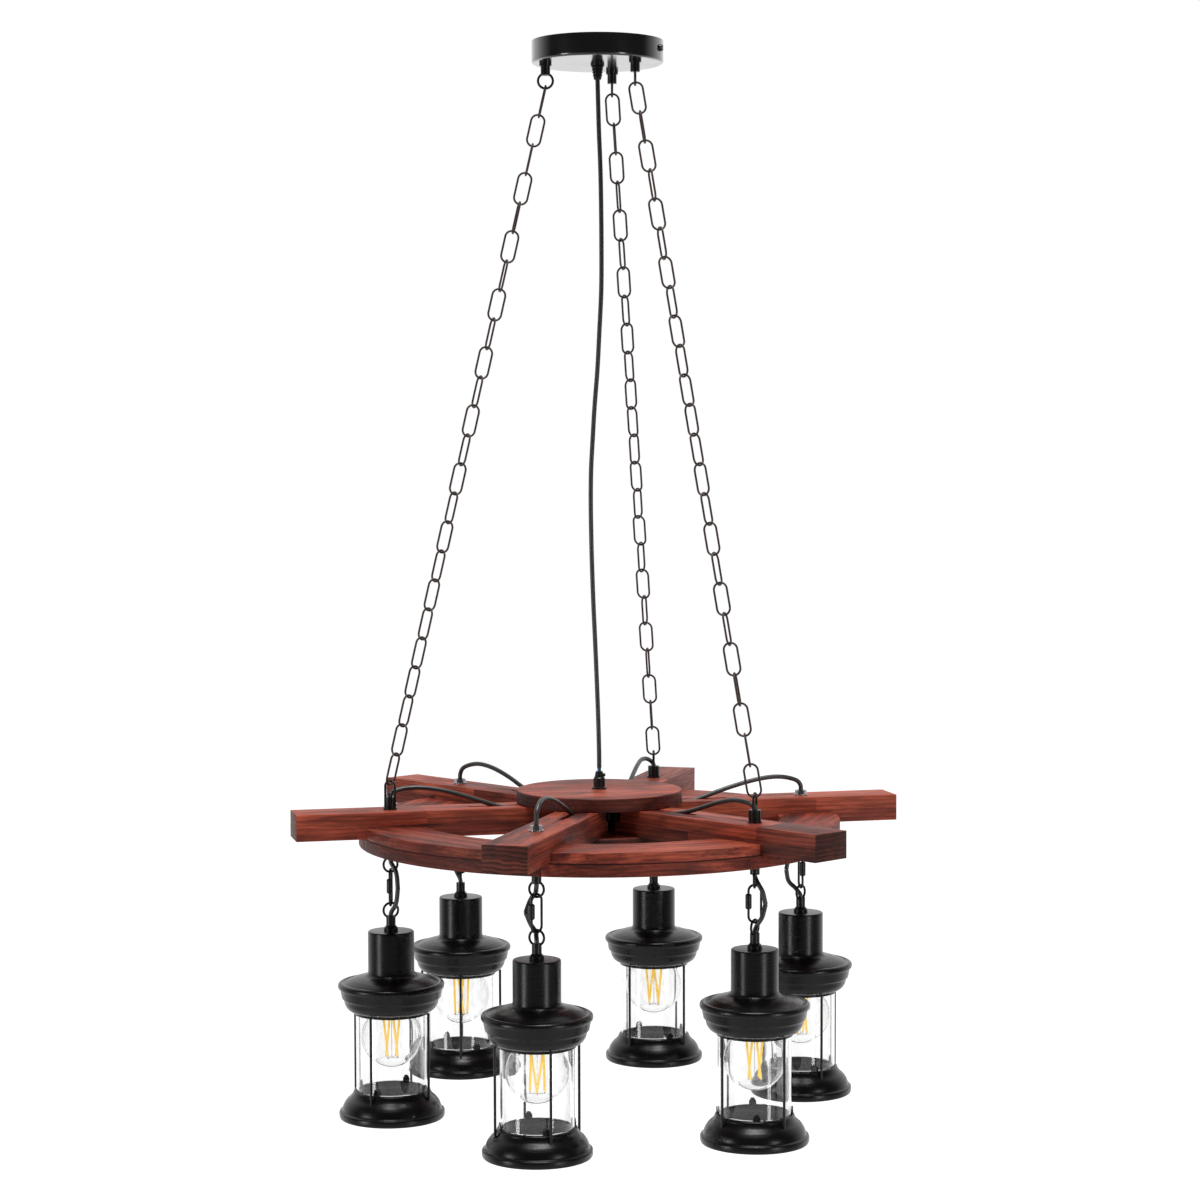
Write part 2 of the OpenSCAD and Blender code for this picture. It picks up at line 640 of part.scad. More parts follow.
// --- Cords ---
module supply_cable() {
    color(black_plastic) cord_tube(supply_points, cord_d);
}

function spoke_route(i) =
    [for (p = spoke_cord_points[i]) turn_about_z([p[0], p[1], wheel_z + p[2]], spoke_angle(i))];

// Out of the upper collar's open end, round in a bow, and into the lower collar's open end
function drop_route(i) =
    let (top_z = rim_z - flange_h - collar_h, end_z = cup_z + bell_nut_h + collar_h,
         bow = drop_bows[i], turns = drop_cord_turns[i], last = len(drop_ends) - 1,
         shoulder = shoulder_share * bow,
         centre = hanger_r * [cos(spoke_angle(i)), sin(spoke_angle(i)), 0],
         point = function (reach, turn, z) centre + [reach * cos(turn), reach * sin(turn), z])
    concat(
        [for (p = drop_ends) point(p[1], turns[0], top_z - p[0])],
        [point(shoulder, (turns[0] + turns[1]) / 2, top_z - drop_shoulder_h),
         point(bow, turns[1], (top_z + end_z) / 2),
         point(shoulder, (turns[1] + turns[2]) / 2, end_z + drop_shoulder_h)],
        [for (k = [last:-1:0]) point(drop_ends[k][1], turns[2], end_z + drop_ends[k][0])]);

// Each cord runs from the hub along its spoke, down through the hollow hanger and on to its lantern
module lamp_cords() {
    color(black_plastic) for (i = [0:spokes - 1])
        let (spoke_part = spoke_route(i))
            cord_tube(concat([for (k = [len(spoke_part) - 1:-1:0]) spoke_part[k]], drop_route(i)), cord_d);
}

// --- Quick links ---
module quick_link(i) {
    leg_x = (quick_w - quick_wire) / 2;
    color(black) at_hanger(i) translate([0, 0, quick_z]) rotate([0, 0, quick_link_turns[i]]) {
        wire_oval(quick_in, quick_w, quick_wire);
        translate([-leg_x, 0, 2]) difference() {
            union() {
                cylinder(d = sleeve_d, h = sleeve_h - 2, center = true);
                for (side = [0, 180]) rotate([side, 0, 0]) translate([0, 0, sleeve_h / 2 - 1])
                    cylinder(d1 = sleeve_d, d2 = sleeve_d - 1.8, h = 1);
            }
            cylinder(d = quick_wire + 0.1, h = sleeve_h + 2, center = true);
        }
    }
}

module quick_link_a() { quick_link(0); }
module quick_link_b() { quick_link(1); }
module quick_link_c() { quick_link(2); }
module quick_link_d() { quick_link(3); }
module quick_link_e() { quick_link(4); }
module quick_link_f() { quick_link(5); }

// --- Lanterns ---
module at_lantern(i) {
    at_hanger(i) translate([0, 0, cup_z]) rotate([0, 0, lantern_turns[i]]) children();
}

// Cup, brim, bowl and band, spun from one sheet, open underneath
module lantern_cap(i) {
    cup_r = cup_d / 2;
    brim_r = brim_d / 2;
    band_r = band_d / 2;
    flat = brim_r - cup_r;
    brim_z = -cup_h;
    edge_z = brim_z - brim_h;
    bowl_z = edge_z - lip_h;
    foot_z = bowl_z - bowl_h;
    drop = brim_r - 1.7 - band_r;
    outer = [[0, 0], [cup_r - 1.5, 0], [cup_r - 0.4, -0.4], [cup_r, -1.5], [cup_r, brim_z],
        [cup_r + 2, brim_z - brim_h * 0.12], [cup_r + flat * 0.3, brim_z - brim_h * 0.16],
        [cup_r + flat * 0.6, brim_z - brim_h * 0.4], [cup_r + flat * 0.92, brim_z - brim_h * 0.76],
        [brim_r - 0.4, edge_z + brim_h * 0.1], [brim_r, edge_z - lip_h * 0.1], [brim_r - 0.5, bowl_z + 0.4],
        [brim_r - 2, bowl_z], [band_r + drop * 0.86, bowl_z - bowl_h * 0.42],
        [band_r + drop * 0.74, bowl_z - bowl_h * 0.46], [band_r + drop * 0.65, bowl_z - bowl_h * 0.7],
        [band_r + drop * 0.48, bowl_z - bowl_h * 0.88], [band_r + drop * 0.28, foot_z + 0.6],
        [band_r + 1, foot_z + 0.2], [band_r, foot_z - 0.3], [band_r, -cap_h]];
    color(black) at_lantern(i) difference() {
        rotate_extrude($fn = 72) polygon(wall_outline(outer, shade_wall));
        translate([0, 0, -5]) cylinder(d = stem_d + hole_gap, h = 10);
    }
}

// Bell-shaped base with its glass tabs, and the four rods welded to it
module lantern_cage(i) {
    hole_r = base_hole_d / 2;
    top_r = glass_d / 2 + 2.6;
    base_r = base_d / 2;
    flare = base_r - 1 - top_r;
    outer = [[hole_r, 0], [top_r - 1.2, 0], [top_r, -1], [top_r + 0.6, -base_h * 0.12],
        [top_r + flare * 0.2, -base_h * 0.24], [top_r + flare * 0.5, -base_h * 0.37],
        [top_r + flare * 0.72, -base_h * 0.5], [top_r + flare * 0.89, -base_h * 0.66],
        [top_r + flare * 0.97, -base_h * 0.8], [base_r - 1, -base_h * 0.84], [base_r, -base_h * 0.87],
        [base_r, -base_h + 1.2], [base_r - 0.8, -base_h]];
    rod_r = rod_pcd / 2;
    rod_top = -cap_h + band_h + 0.2;
    rod_foot = base_z - base_h * 0.3;
    tab_w = 7;
    tab_h = 6.5;
    color(black) at_lantern(i) {
        translate([0, 0, base_z]) rotate_extrude($fn = 72) polygon(wall_outline(outer, shade_wall));
        for (k = [0:3]) rotate([0, 0, 90 * k + tab_turns[i] - lantern_turns[i]])
            translate([glass_d / 2 + 0.3 + shade_wall, 0, base_z - shade_wall / 2]) rotate([90, 0, -90])
                linear_extrude(shade_wall)
                    polygon([[-tab_w / 2, 0], [-tab_w / 2, tab_h * 0.5], [-tab_w / 5, tab_h],
                        [tab_w / 5, tab_h], [tab_w / 2, tab_h * 0.5], [tab_w / 2, 0]]);
        for (k = [0:3]) rotate([0, 0, 90 * k - 90])
            translate([rod_r, 0, rod_foot]) cylinder(d = rod_d, h = rod_top - rod_foot, $fn = 24);
    }
}

module lantern_glass(i) {
    top = -cap_h + band_h + 1;
    foot = base_z + seat_gap;
    color(clear_glass) at_lantern(i) translate([0, 0, foot]) difference() {
        cylinder(d = glass_d, h = top - foot, $fn = 72);
        translate([0, 0, -1]) cylinder(d = glass_d - 2 * glass_wall, h = top - foot + 2, $fn = 72);
    }
}

// Clear bulb: a thin glass envelope, and the screw cap with the stem, wires and four filaments on it
screw_cap_h = 24;
neck_r = 14;
bulb_wall = 0.8;
// Angle over the globe's middle at which the neck begins
neck_angle = 44;
filaments = 4;
filament_h = 38;
filament_top_r = 8;
filament_foot_r = 6.7;
// Turn of each filament's foot from its top
filament_lean = 45;
module lantern_bulb(i) {
    r = bulb_d / 2;
    globe_z = r - bulb_drop;
    neck_z = bulb_h - bulb_drop - screw_cap_h;
    cap_z = neck_z + seat_gap;
    stem_h = 34;
    top_z = cap_z - stem_h - 1.6;
    foot_z = top_z - filament_h;
    wire = 1;
    at_hanger(i) translate([0, 0, cup_z]) rotate([0, 0, bulb_turns[i]]) {
        color(clear_glass) rotate_extrude($fn = 48) polygon(concat(
            [[neck_r - 1, neck_z], [neck_r, neck_z - 3], [neck_r + 0.4, neck_z - 8]],
            arc([0, globe_z], r, neck_angle, -90, 14), arc([0, globe_z], r - bulb_wall, -90, neck_angle, 14),
            [[neck_r + 0.4 - bulb_wall, neck_z - 8], [neck_r - bulb_wall, neck_z - 3],
            [neck_r - 1 - bulb_wall, neck_z]]));
        color(nickel) {
            translate([0, 0, cap_z]) cylinder(d = screw_cap_d, h = screw_cap_h - 4);
            translate([0, 0, cap_z + screw_cap_h - 4]) cylinder(d1 = screw_cap_d - 4, d2 = 10, h = 4);
            translate([0, 0, cap_z - stem_h]) cylinder(d1 = 3, d2 = 8, h = stem_h, $fn = 24);
            translate([0, 0, foot_z - 2]) cylinder(d = wire, h = cap_z - stem_h - foot_z + 4, $fn = 12);
            for (k = [0:filaments - 1]) rotate([0, 0, 360 / filaments * k]) {
                top = [filament_top_r, 0, top_z];
                foot = turn_about_z([filament_foot_r, 0, foot_z], filament_lean);
                cord_tube([foot, top], 1.8);
                for (end = [foot, top]) cord_tube([[0, 0, end[2]], end], wire, 6);
            }
        }
    }
}

// Ring, collar and bell nut on top of the cup, the stem through it, and the lamp holder inside
module lantern_fitting(i) {
    top = bell_nut_h + collar_h;
    thread_h = 6;
    stem_h = shade_wall + seat_gap + thread_h;
    holder_top = -shade_wall - seat_gap;
    holder_h = holder_top - (bulb_h - bulb_drop - screw_cap_h);
    color(black) at_hanger(i) translate([0, 0, cup_z]) difference() {
        union() {
            cylinder(d = bell_nut_d, h = 2.6);
            translate([0, 0, 2.6]) cylinder(d1 = bell_nut_d, d2 = collar_d, h = bell_nut_h - 2.6);
            translate([0, 0, bell_nut_h]) cylinder(d = collar_d, h = collar_h);
            translate([0, 0, top - ring_seat + ring_d / 2]) rotate([0, 0, low_ring_turns[i]])
                hanging_ring();
            translate([0, 0, -stem_h]) cylinder(d = stem_d, h = stem_h + 1);
        }
        translate([0, 0, -stem_h - 1]) cylinder(d = cord_d + 0.3, h = stem_h + top + 2);
    }
    color(black_plastic) at_lantern(i) difference() {
        translate([0, 0, holder_top - holder_h]) cylinder(d = holder_d, h = holder_h);
        translate([0, 0, holder_top - holder_h - 1]) cylinder(d = screw_cap_d + 0.6, h = screw_cap_h + 2);
        translate([0, 0, holder_top - thread_h - 1]) cylinder(d = stem_d + 0.1, h = thread_h + 2);
    }
}

module lantern_cap_a() { lantern_cap(0); }
module lantern_cap_b() { lantern_cap(1); }
module lantern_cap_c() { lantern_cap(2); }
module lantern_cap_d() { lantern_cap(3); }
module lantern_cap_e() { lantern_cap(4); }
module lantern_cap_f() { lantern_cap(5); }
module lantern_cage_a() { lantern_cage(0); }
module lantern_cage_b() { lantern_cage(1); }
module lantern_cage_c() { lantern_cage(2); }
module lantern_cage_d() { lantern_cage(3); }
module lantern_cage_e() { lantern_cage(4); }
module lantern_cage_f() { lantern_cage(5); }
module lantern_glass_a() { lantern_glass(0); }
module lantern_glass_b() { lantern_glass(1); }
module lantern_glass_c() { lantern_glass(2); }
module lantern_glass_d() { lantern_glass(3); }
module lantern_glass_e() { lantern_glass(4); }
module lantern_glass_f() { lantern_glass(5); }
module lantern_bulb_a() { lantern_bulb(0); }
module lantern_bulb_b() { lantern_bulb(1); }
module lantern_bulb_c() { lantern_bulb(2); }
module lantern_bulb_d() { lantern_bulb(3); }
module lantern_bulb_e() { lantern_bulb(4); }
module lantern_bulb_f() { lantern_bulb(5); }
module lantern_fitting_a() { lantern_fitting(0); }
module lantern_fitting_b() { lantern_fitting(1); }
module lantern_fitting_c() { lantern_fitting(2); }
module lantern_fitting_d() { lantern_fitting(3); }
module lantern_fitting_e() { lantern_fitting(4); }
module lantern_fitting_f() { lantern_fitting(5); }

canopy_pan();
ceiling_bracket();
canopy_hangers();
canopy_cord_grip();
terminal_block();
supply_cable();
chain_b_top_link();
chain_d_top_link();
chain_f_top_link();
chain_b();
chain_d();
chain_f();
hub_top_disc();
hub_lower_disc();
spoke_upper_boards();
spoke_lower_boards();
rim_upper_segments();
rim_lower_segments();
hub_cord_grip();
hub_terminal_block();
chain_loops();
cord_nuts();
spoke_hangers();
lamp_cords();
quick_link_a();
quick_link_b();
quick_link_c();
quick_link_d();
quick_link_e();
quick_link_f();
lantern_cap_a();
lantern_cap_b();
lantern_cap_c();
lantern_cap_d();
lantern_cap_e();
lantern_cap_f();
lantern_cage_a();
lantern_cage_b();
lantern_cage_c();
lantern_cage_d();
lantern_cage_e();
lantern_cage_f();
lantern_glass_a();
lantern_glass_b();
lantern_glass_c();
lantern_glass_d();
lantern_glass_e();
lantern_glass_f();
lantern_bulb_a();
lantern_bulb_b();
lantern_bulb_c();
lantern_bulb_d();
lantern_bulb_e();
lantern_bulb_f();
lantern_fitting_a();
lantern_fitting_b();
lantern_fitting_c();
lantern_fitting_d();
lantern_fitting_e();
lantern_fitting_f();
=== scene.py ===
# %% [markdown]
# # A wagon wheel chandelier with six lanterns
#
# A round canopy on the ceiling carries three chains. They hold a timber wheel with six
# spokes, and under each spoke hangs a black metal lantern with a clear glass and a clear bulb.
# The sizes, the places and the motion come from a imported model, which is loaded first. The
# lesson gives that model its looks: wood with grain, spun and painted metal, glass, and cords.
#
# Everything is in metres, +Z is up, and the origin is on the ceiling over the wheel's middle.

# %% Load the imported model
import json
import math
import random

import bmesh
import bpy
from mathutils import Matrix, Vector


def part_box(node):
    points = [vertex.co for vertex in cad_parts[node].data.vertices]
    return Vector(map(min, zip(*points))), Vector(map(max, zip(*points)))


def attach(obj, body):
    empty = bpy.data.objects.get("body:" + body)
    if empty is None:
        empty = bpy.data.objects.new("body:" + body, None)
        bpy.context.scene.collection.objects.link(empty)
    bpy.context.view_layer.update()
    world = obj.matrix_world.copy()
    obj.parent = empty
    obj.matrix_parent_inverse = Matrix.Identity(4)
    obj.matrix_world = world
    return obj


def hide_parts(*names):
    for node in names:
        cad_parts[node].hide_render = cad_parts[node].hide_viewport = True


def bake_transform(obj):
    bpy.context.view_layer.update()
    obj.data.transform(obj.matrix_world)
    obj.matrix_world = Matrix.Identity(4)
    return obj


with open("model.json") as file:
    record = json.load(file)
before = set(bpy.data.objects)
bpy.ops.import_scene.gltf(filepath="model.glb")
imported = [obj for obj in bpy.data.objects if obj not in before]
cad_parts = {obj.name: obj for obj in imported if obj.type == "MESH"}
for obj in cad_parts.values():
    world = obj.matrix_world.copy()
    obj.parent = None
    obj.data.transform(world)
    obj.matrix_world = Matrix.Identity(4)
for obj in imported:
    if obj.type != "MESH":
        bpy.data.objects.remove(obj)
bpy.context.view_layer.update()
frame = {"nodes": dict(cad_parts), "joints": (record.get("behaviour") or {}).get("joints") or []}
nodes = frame["nodes"]

# %% [markdown]
# The levels that the lesson needs are read from the model, so a change there moves the looks
# too. A lantern hangs under each spoke, and its place is the place of its quick link's hinge.

# %% Levels and places
letters = "abcdef"
wheel_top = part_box("spoke_upper_boards")[1][2]
wheel_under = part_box("rim_lower_segments")[0][2]
wheel_turn = math.radians(14)
spoke_angle = [wheel_turn + math.radians(60) * k for k in range(6)]
hinges = {joint["name"]: Vector(joint["pos_m"]) for joint in frame["joints"] if "pos_m" in joint}
hanger = [hinges[f"link_{letter}_swing"] for letter in letters]
cup_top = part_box("lantern_cap_a")[1][2]
print("wheel top", round(wheel_top, 4), "cup top", round(cup_top, 4))

# %% [markdown]
# ## The camera
#
# The photograph was taken from about the height of the chains' middle, from 2.6 m away, with
# a long lens that looks slightly down. A long lens keeps the near and the far lanterns almost
# the same size. The camera is also turned a little about its own axis, which is its roll.

# %% Camera
film_width, lens = 36, 82.06
camera_aside, camera_distance, camera_over_wheel = 0.00116, 2.6375, 0.3472
look_down, roll = math.radians(3.289), math.radians(-0.14)
camera_data = bpy.data.cameras.new("camera")
camera_data.sensor_width = film_width
camera_data.lens = lens
camera = bpy.data.objects.new("camera", camera_data)
bpy.context.scene.collection.objects.link(camera)
camera.location = (camera_aside, -camera_distance, wheel_top + camera_over_wheel)
camera.rotation_euler = (
    Matrix.Rotation(math.radians(90) - look_down, 3, "X") @ Matrix.Rotation(roll, 3, "Z")
).to_euler()
bpy.context.scene.camera = camera
print("camera at", [round(v, 3) for v in camera.location], "with a lens of", lens, "mm")

# %% [markdown]
# ## Light, backdrop and floor
#
# A product like this is shot on white, with large soft lamps at both sides and above. The
# world is white where the camera looks at it, straight or through glass. Metal and glass mirror
# it white behind the object and dim in front, like the dark side of a studio, which keeps black
# paint black. It lights the object more dimly too, so that colours render about as they are
# written. The floor lies at a room's height below the ceiling and is white in the same way.

# %% Helpers for node trees
class Value:
    """A shader socket. Python's operators on it add Math nodes to the tree."""

    def __init__(self, shader, socket):
        self.shader, self.socket = shader, socket

    def math(self, operation, *others):
        return self.shader.node("ShaderNodeMath", [self, *others], operation=operation)

    def __add__(self, other):
        return self.math("ADD", other)

    def __sub__(self, other):
        return self.math("SUBTRACT", other)

    def __rsub__(self, other):
        return self.shader.node("ShaderNodeMath", [other, self], operation="SUBTRACT")

    def __mul__(self, other):
        return self.math("MULTIPLY", other)

    def __rmul__(self, other):
        return self.math("MULTIPLY", other)


class Nodes:
    """A node tree, with short ways to add to it."""

    def __init__(self, tree):
        self.tree = tree

    def put(self, socket, value):
        """Links a Value to a socket, or writes a plain number, colour or vector on it."""
        if isinstance(value, Value):
            self.tree.links.new(value.socket, socket)
        else:
            if hasattr(socket.default_value, "__len__") and len(value) < len(socket.default_value):
                value = (*value, 1)
            socket.default_value = value

    def node(self, kind, inputs=(), output=0, **settings):
        """Adds a node: first its settings, then its inputs, given in order or by name."""
        made = self.tree.nodes.new(kind)
        for name, setting in settings.items():
            setattr(made, name, setting)
        named = inputs.items() if isinstance(inputs, dict) else enumerate(inputs)
        for name, value in named:
            if value is not None:
                self.put(made.inputs[name], value)
        return Value(self, made.outputs[output])

    def mix(self, factor, first, second):
        """Mixes two colours. The node's colour sockets are inputs 6 and 7 and output 2."""
        return self.node("ShaderNodeMix", {0: factor, 6: first, 7: second}, output=2,
            data_type="RGBA")

    def range(self, value, low, high, to_low=0.0, to_high=1.0):
        return self.node("ShaderNodeMapRange", [value, low, high, to_low, to_high])

    def place(self, scale=(1, 1, 1)):
        """The point on the piece, in metres in its own axes, stretched for a texture."""
        point = self.node("ShaderNodeTexCoord", output="Object")
        return self.node("ShaderNodeMapping", [point, None, None, scale])

    def noise(self, where, scale, detail=4, roughness=0.55, distortion=0.0):
        return self.node("ShaderNodeTexNoise",
            {"Vector": where, "Scale": scale, "Detail": detail, "Roughness": roughness,
             "Distortion": distortion})

    def bump(self, height, strength, distance):
        return self.node("ShaderNodeBump",
            {"Height": height, "Strength": strength, "Distance": distance})

    def seen_as_white(self, back, lit, room_dimness=0.06):
        """The strength of something white, by the ray that meets it.

        It is 1 for the camera and through glass, and lit for the light on the object. Mirrors
        see it dim in front, where back is 0, and white behind, where back is 1."""
        camera_ray = self.node("ShaderNodeLightPath", output="Is Camera Ray")
        glass_ray = self.node("ShaderNodeLightPath", output="Is Transmission Ray")
        mirror_ray = self.node("ShaderNodeLightPath", output="Is Glossy Ray")
        mirrored = self.range(back, 0.0, 1.0, room_dimness, 1.0)
        straight = self.range(camera_ray + glass_ray, 0.0, 1.0)
        mirror_only = mirror_ray * (1.0 - straight)
        return (1.0 - lit) * straight + (mirrored - lit) * mirror_only + lit


# %% Helpers for materials
class Shader(Nodes):
    """A material with a Principled shader."""

    def __init__(self, name):
        self.material = bpy.data.materials.new(name)
        self.material.use_nodes = True
        super().__init__(self.material.node_tree)
        self.surface = self.tree.nodes["Principled BSDF"]

    def set(self, **values):
        """Sets the Principled shader's sockets. Underscores stand for spaces."""
        for name, value in values.items():
            self.put(self.surface.inputs[name.replace("_", " ")], value)
        return self


def linear(red, green, blue):
    """A screen colour from 0 to 255, as the linear colour that a shader takes."""
    return tuple((c / 255 / 12.92) if c <= 10 else ((c / 255 + 0.055) / 1.055) ** 2.4
        for c in (red, green, blue))


# %% World and lamps
world_light = 0.4
world = bpy.data.worlds.new("studio")
bpy.context.scene.world = world
world.use_nodes = True
sky = Nodes(world.node_tree)
direction = sky.node("ShaderNodeTexCoord", output="Generated")
away = sky.node("ShaderNodeSeparateXYZ", [direction], output=1)
background = world.node_tree.nodes["Background"]
background.inputs["Color"].default_value = (1, 1, 1, 1)
sky.put(background.inputs["Strength"], sky.seen_as_white(sky.range(away, 0.0, 0.6), world_light))


def soft_lamp(name, place, aim, width, height, watts):
    """A large rectangular lamp at a place, facing a point."""
    data = bpy.data.lights.new(name, "AREA")
    data.shape, data.size, data.size_y, data.energy = "RECTANGLE", width, height, watts
    lamp = bpy.data.objects.new(name, data)
    bpy.context.scene.collection.objects.link(lamp)
    lamp.location = place
    lamp.rotation_euler = (Vector(aim) - Vector(place)).to_track_quat("-Z", "Y").to_euler()


soft_lamp("lamp_left", (-2.5, -1.5, -0.9), (0, 0, -0.9), 0.6, 1.6, 20)
soft_lamp("lamp_right", (2.0, -2.1, -0.9), (0, 0, -0.9), 0.5, 1.6, 15)
soft_lamp("lamp_top", (0.1, -0.7, 2.3), (0, 0, -0.8), 1.6, 1.2, 84)
bpy.context.scene.view_settings.view_transform = "Standard"
print("three lamps in a white world of strength", world_light)

# %% Floor
floor_level, floor_front, floor_back, floor_side = -2.4, -9, 14, 9
paper_glow = 0.76
floor_mesh = bpy.data.meshes.new("floor")
floor_corners = [(-floor_side, floor_front, floor_level), (floor_side, floor_front, floor_level),
    (floor_side, floor_back, floor_level), (-floor_side, floor_back, floor_level)]
floor_mesh.from_pydata(floor_corners, [], [(0, 1, 2, 3)])
floor = bpy.data.objects.new("floor", floor_mesh)
bpy.context.scene.collection.objects.link(floor)
paper = Shader("floor_paper")
behind = paper.range(paper.node("ShaderNodeSeparateXYZ", [paper.place()], output=1), 0.0, 3.0)
paper.set(Base_Color=(0.8, 0.8, 0.8), Roughness=0.9, Emission_Color=(1, 1, 1))
paper_light = paper.node("ShaderNodeEmission",
    {"Strength": paper.seen_as_white(behind, 0.0) * paper_glow})
lit_paper = Value(paper, paper.surface.outputs[0])
paper.put(paper.tree.nodes["Material Output"].inputs["Surface"],
    paper.node("ShaderNodeAddShader", [lit_paper, paper_light]))
floor_mesh.materials.append(paper.material)
print("floor at", floor_level, "m")

# %% [markdown]
# ## Cords
#
# The supply cable and the lamp cords are round plastic cords with a soft gloss. Each is a tube
# that follows chosen points, smoothed into one curve. A cord that crosses a hinge is cut into
# pieces there, and each piece runs from one of the two bodies that the hinge joins to the other.
# A cord on one body rides on it, and the length of every piece is printed.

# %% Cord helpers
def smooth_route(points, steps=5):
    """A curve through the points, with each stretch cut into steps."""
    points = [Vector(p) for p in points]
    ends = [2 * points[0] - points[1], *points, 2 * points[-1] - points[-2]]
    route = []
    for a, b, c, d in zip(ends, ends[1:], ends[2:], ends[3:]):
        for k in range(steps):
            t = k / steps
            route.append(0.5 * (2 * b + (c - a) * t + (2 * a - 5 * b + 4 * c - d) * t * t
                + (3 * b - a - 3 * c + d) * t ** 3))
    return route + [points[-1]]


def tube(name, route, diameter, sides=16):
    """A round tube along a route, closed at both ends."""
    mesh = bmesh.new()
    aim = (route[1] - route[0]).normalized()
    across = aim.orthogonal().normalized()
    turns = [2 * math.pi * s / sides for s in range(sides)]
    rings = []
    for k, point in enumerate(route):
        aim = (route[min(k + 1, len(route) - 1)] - route[max(k - 1, 0)]).normalized()
        across = (across - across.dot(aim) * aim).normalized()
        up = aim.cross(across)
        rings.append([mesh.verts.new(point
            + diameter / 2 * (math.cos(a) * across + math.sin(a) * up)) for a in turns])
    for one, two in zip(rings, rings[1:]):
        for s in range(sides):
            t = (s + 1) % sides
            mesh.faces.new((one[s], one[t], two[t], two[s])).smooth = True
    mesh.faces.new(list(reversed(rings[0])))
    mesh.faces.new(rings[-1])
    return finished(name, mesh)


def finished(name, mesh, materials=(), turn=0.0, place=(0, 0, 0)):
    """Turns a bmesh into an object of the scene, with its edges over 40 degrees kept sharp."""
    data = bpy.data.meshes.new(name)
    mesh.to_mesh(data)
    mesh.free()
    data.set_sharp_from_angle(angle=math.radians(40))
    for material in materials:
        data.materials.append(material)
    made = bpy.data.objects.new(name, data)
    bpy.context.scene.collection.objects.link(made)
    made.matrix_world = Matrix.Translation(place) @ Matrix.Rotation(turn, 4, "Z")
    return made


def length_of(route):
    return sum((b - a).length for a, b in zip(route, route[1:]))


# %% Cord finish, and how every cord is made
cord_finish = Shader("cord_sheath")
dust = cord_finish.noise(cord_finish.place(), 60, detail=3)
cord_finish.set(Base_Color=cord_finish.mix(dust, linear(17, 17, 18), linear(26, 26, 27)),
    Roughness=cord_finish.range(dust, 0.3, 0.7, 0.36, 0.44), Specular_IOR_Level=0.9)
cord_diameter = 0.0044


def cord_between(name, route, *bodies):
    """A black cord along a route, which rides on one body, or stays where it is drawn between two.
    """
    made = tube(name, route, cord_diameter)
    made.data.materials.append(cord_finish.material)
    if len(bodies) == 1:
        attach(made, *bodies)
    else:
        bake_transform(made)
    length_of(route)
    print(name, round(length_of(route), 3), "m")
    return made


# %% [markdown]
# The supply cable drops from the canopy's grip to the grip on the hub, in the slow curves that
# a cable keeps after it has been coiled. The wheel sways on two crossed hinges, with a body of
# its own between them, so the cable is cut in two there: the upper half runs from the canopy to
# that body and the lower half from that body to the wheel.

# %% Supply cable
hub_grip_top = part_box("hub_cord_grip")[1][2]
canopy_grip_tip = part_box("canopy_cord_grip")[0][2]
supply_millimetres = [(0.3, 0, -48), (1.2, 0.5, -84), (2.4, 1, -115), (3.1, 1, -150),
    (3.4, 0.5, -195), (3.1, 0, -236), (1.2, 0, -275), (-0.8, 0.5, -312), (-3.6, 1, -347),
    (-5.6, 1, -380), (-7.1, 0.5, -408), (-7.5, 0, -437), (-7.2, 0, -466), (-6.6, 0.5, -495),
    (-5.3, 0.5, -535), (-3.7, 0.3, -572), (-2.1, 0.2, -612), (-0.8, 0, -650), (-0.1, 0, -680)]
bare_wire = 0.0035
sheath_end = hub_grip_top + bare_wire
supply_points = [(0, 0, canopy_grip_tip),
    *((x / 1000, y / 1000, z / 1000) for x, y, z in supply_millimetres), (0, 0, sheath_end)]
meeting_point = 10
upper_half = cord_between("supply_cable_upper", smooth_route(supply_points[:meeting_point + 1]),
    "canopy", "supply")
cord_between("supply_cable_lower", smooth_route(supply_points[meeting_point:]), "supply", "wheel")
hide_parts("supply_cable")

# %% [markdown]
# Just over the hub's grip the sheath has been cut back, so the blue and the brown wire show.

# %% Cores of the supply cable
core_diameter, core_aside, core_front = 0.0019, 0.0009, -0.0008
core_top, core_foot = sheath_end + 0.001, hub_grip_top - 0.002


def core_finish(name, colour, mottle=1.3):
    """The shiny insulation of a single wire, with a lighter tone in spots."""
    core = Shader(name)
    lighter = tuple(c * mottle for c in colour)
    core.set(Base_Color=core.mix(core.noise(core.place(), 300), colour, lighter), Roughness=0.3)
    return core.material


for name, aside, colour in (("blue", -core_aside, linear(40, 110, 190)),
        ("brown", core_aside, linear(88, 52, 34))):
    core = tube(f"supply_core_{name}", [Vector((aside, core_front, core_top)),
        Vector((aside, core_front, core_foot))], core_diameter, 12)
    core.data.materials.append(core_finish(f"{name}_wire", colour))
    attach(core, "wheel")
print("two bare cores", round(core_top - core_foot, 4), "m long")

# %% [markdown]
# Each lamp's cord comes up through its hanger, arches over the spoke, and runs in a groove
# under the hub's upper disc. The points give the distance from the axis, the shift sideways
# and the height above the spoke, in millimetres.

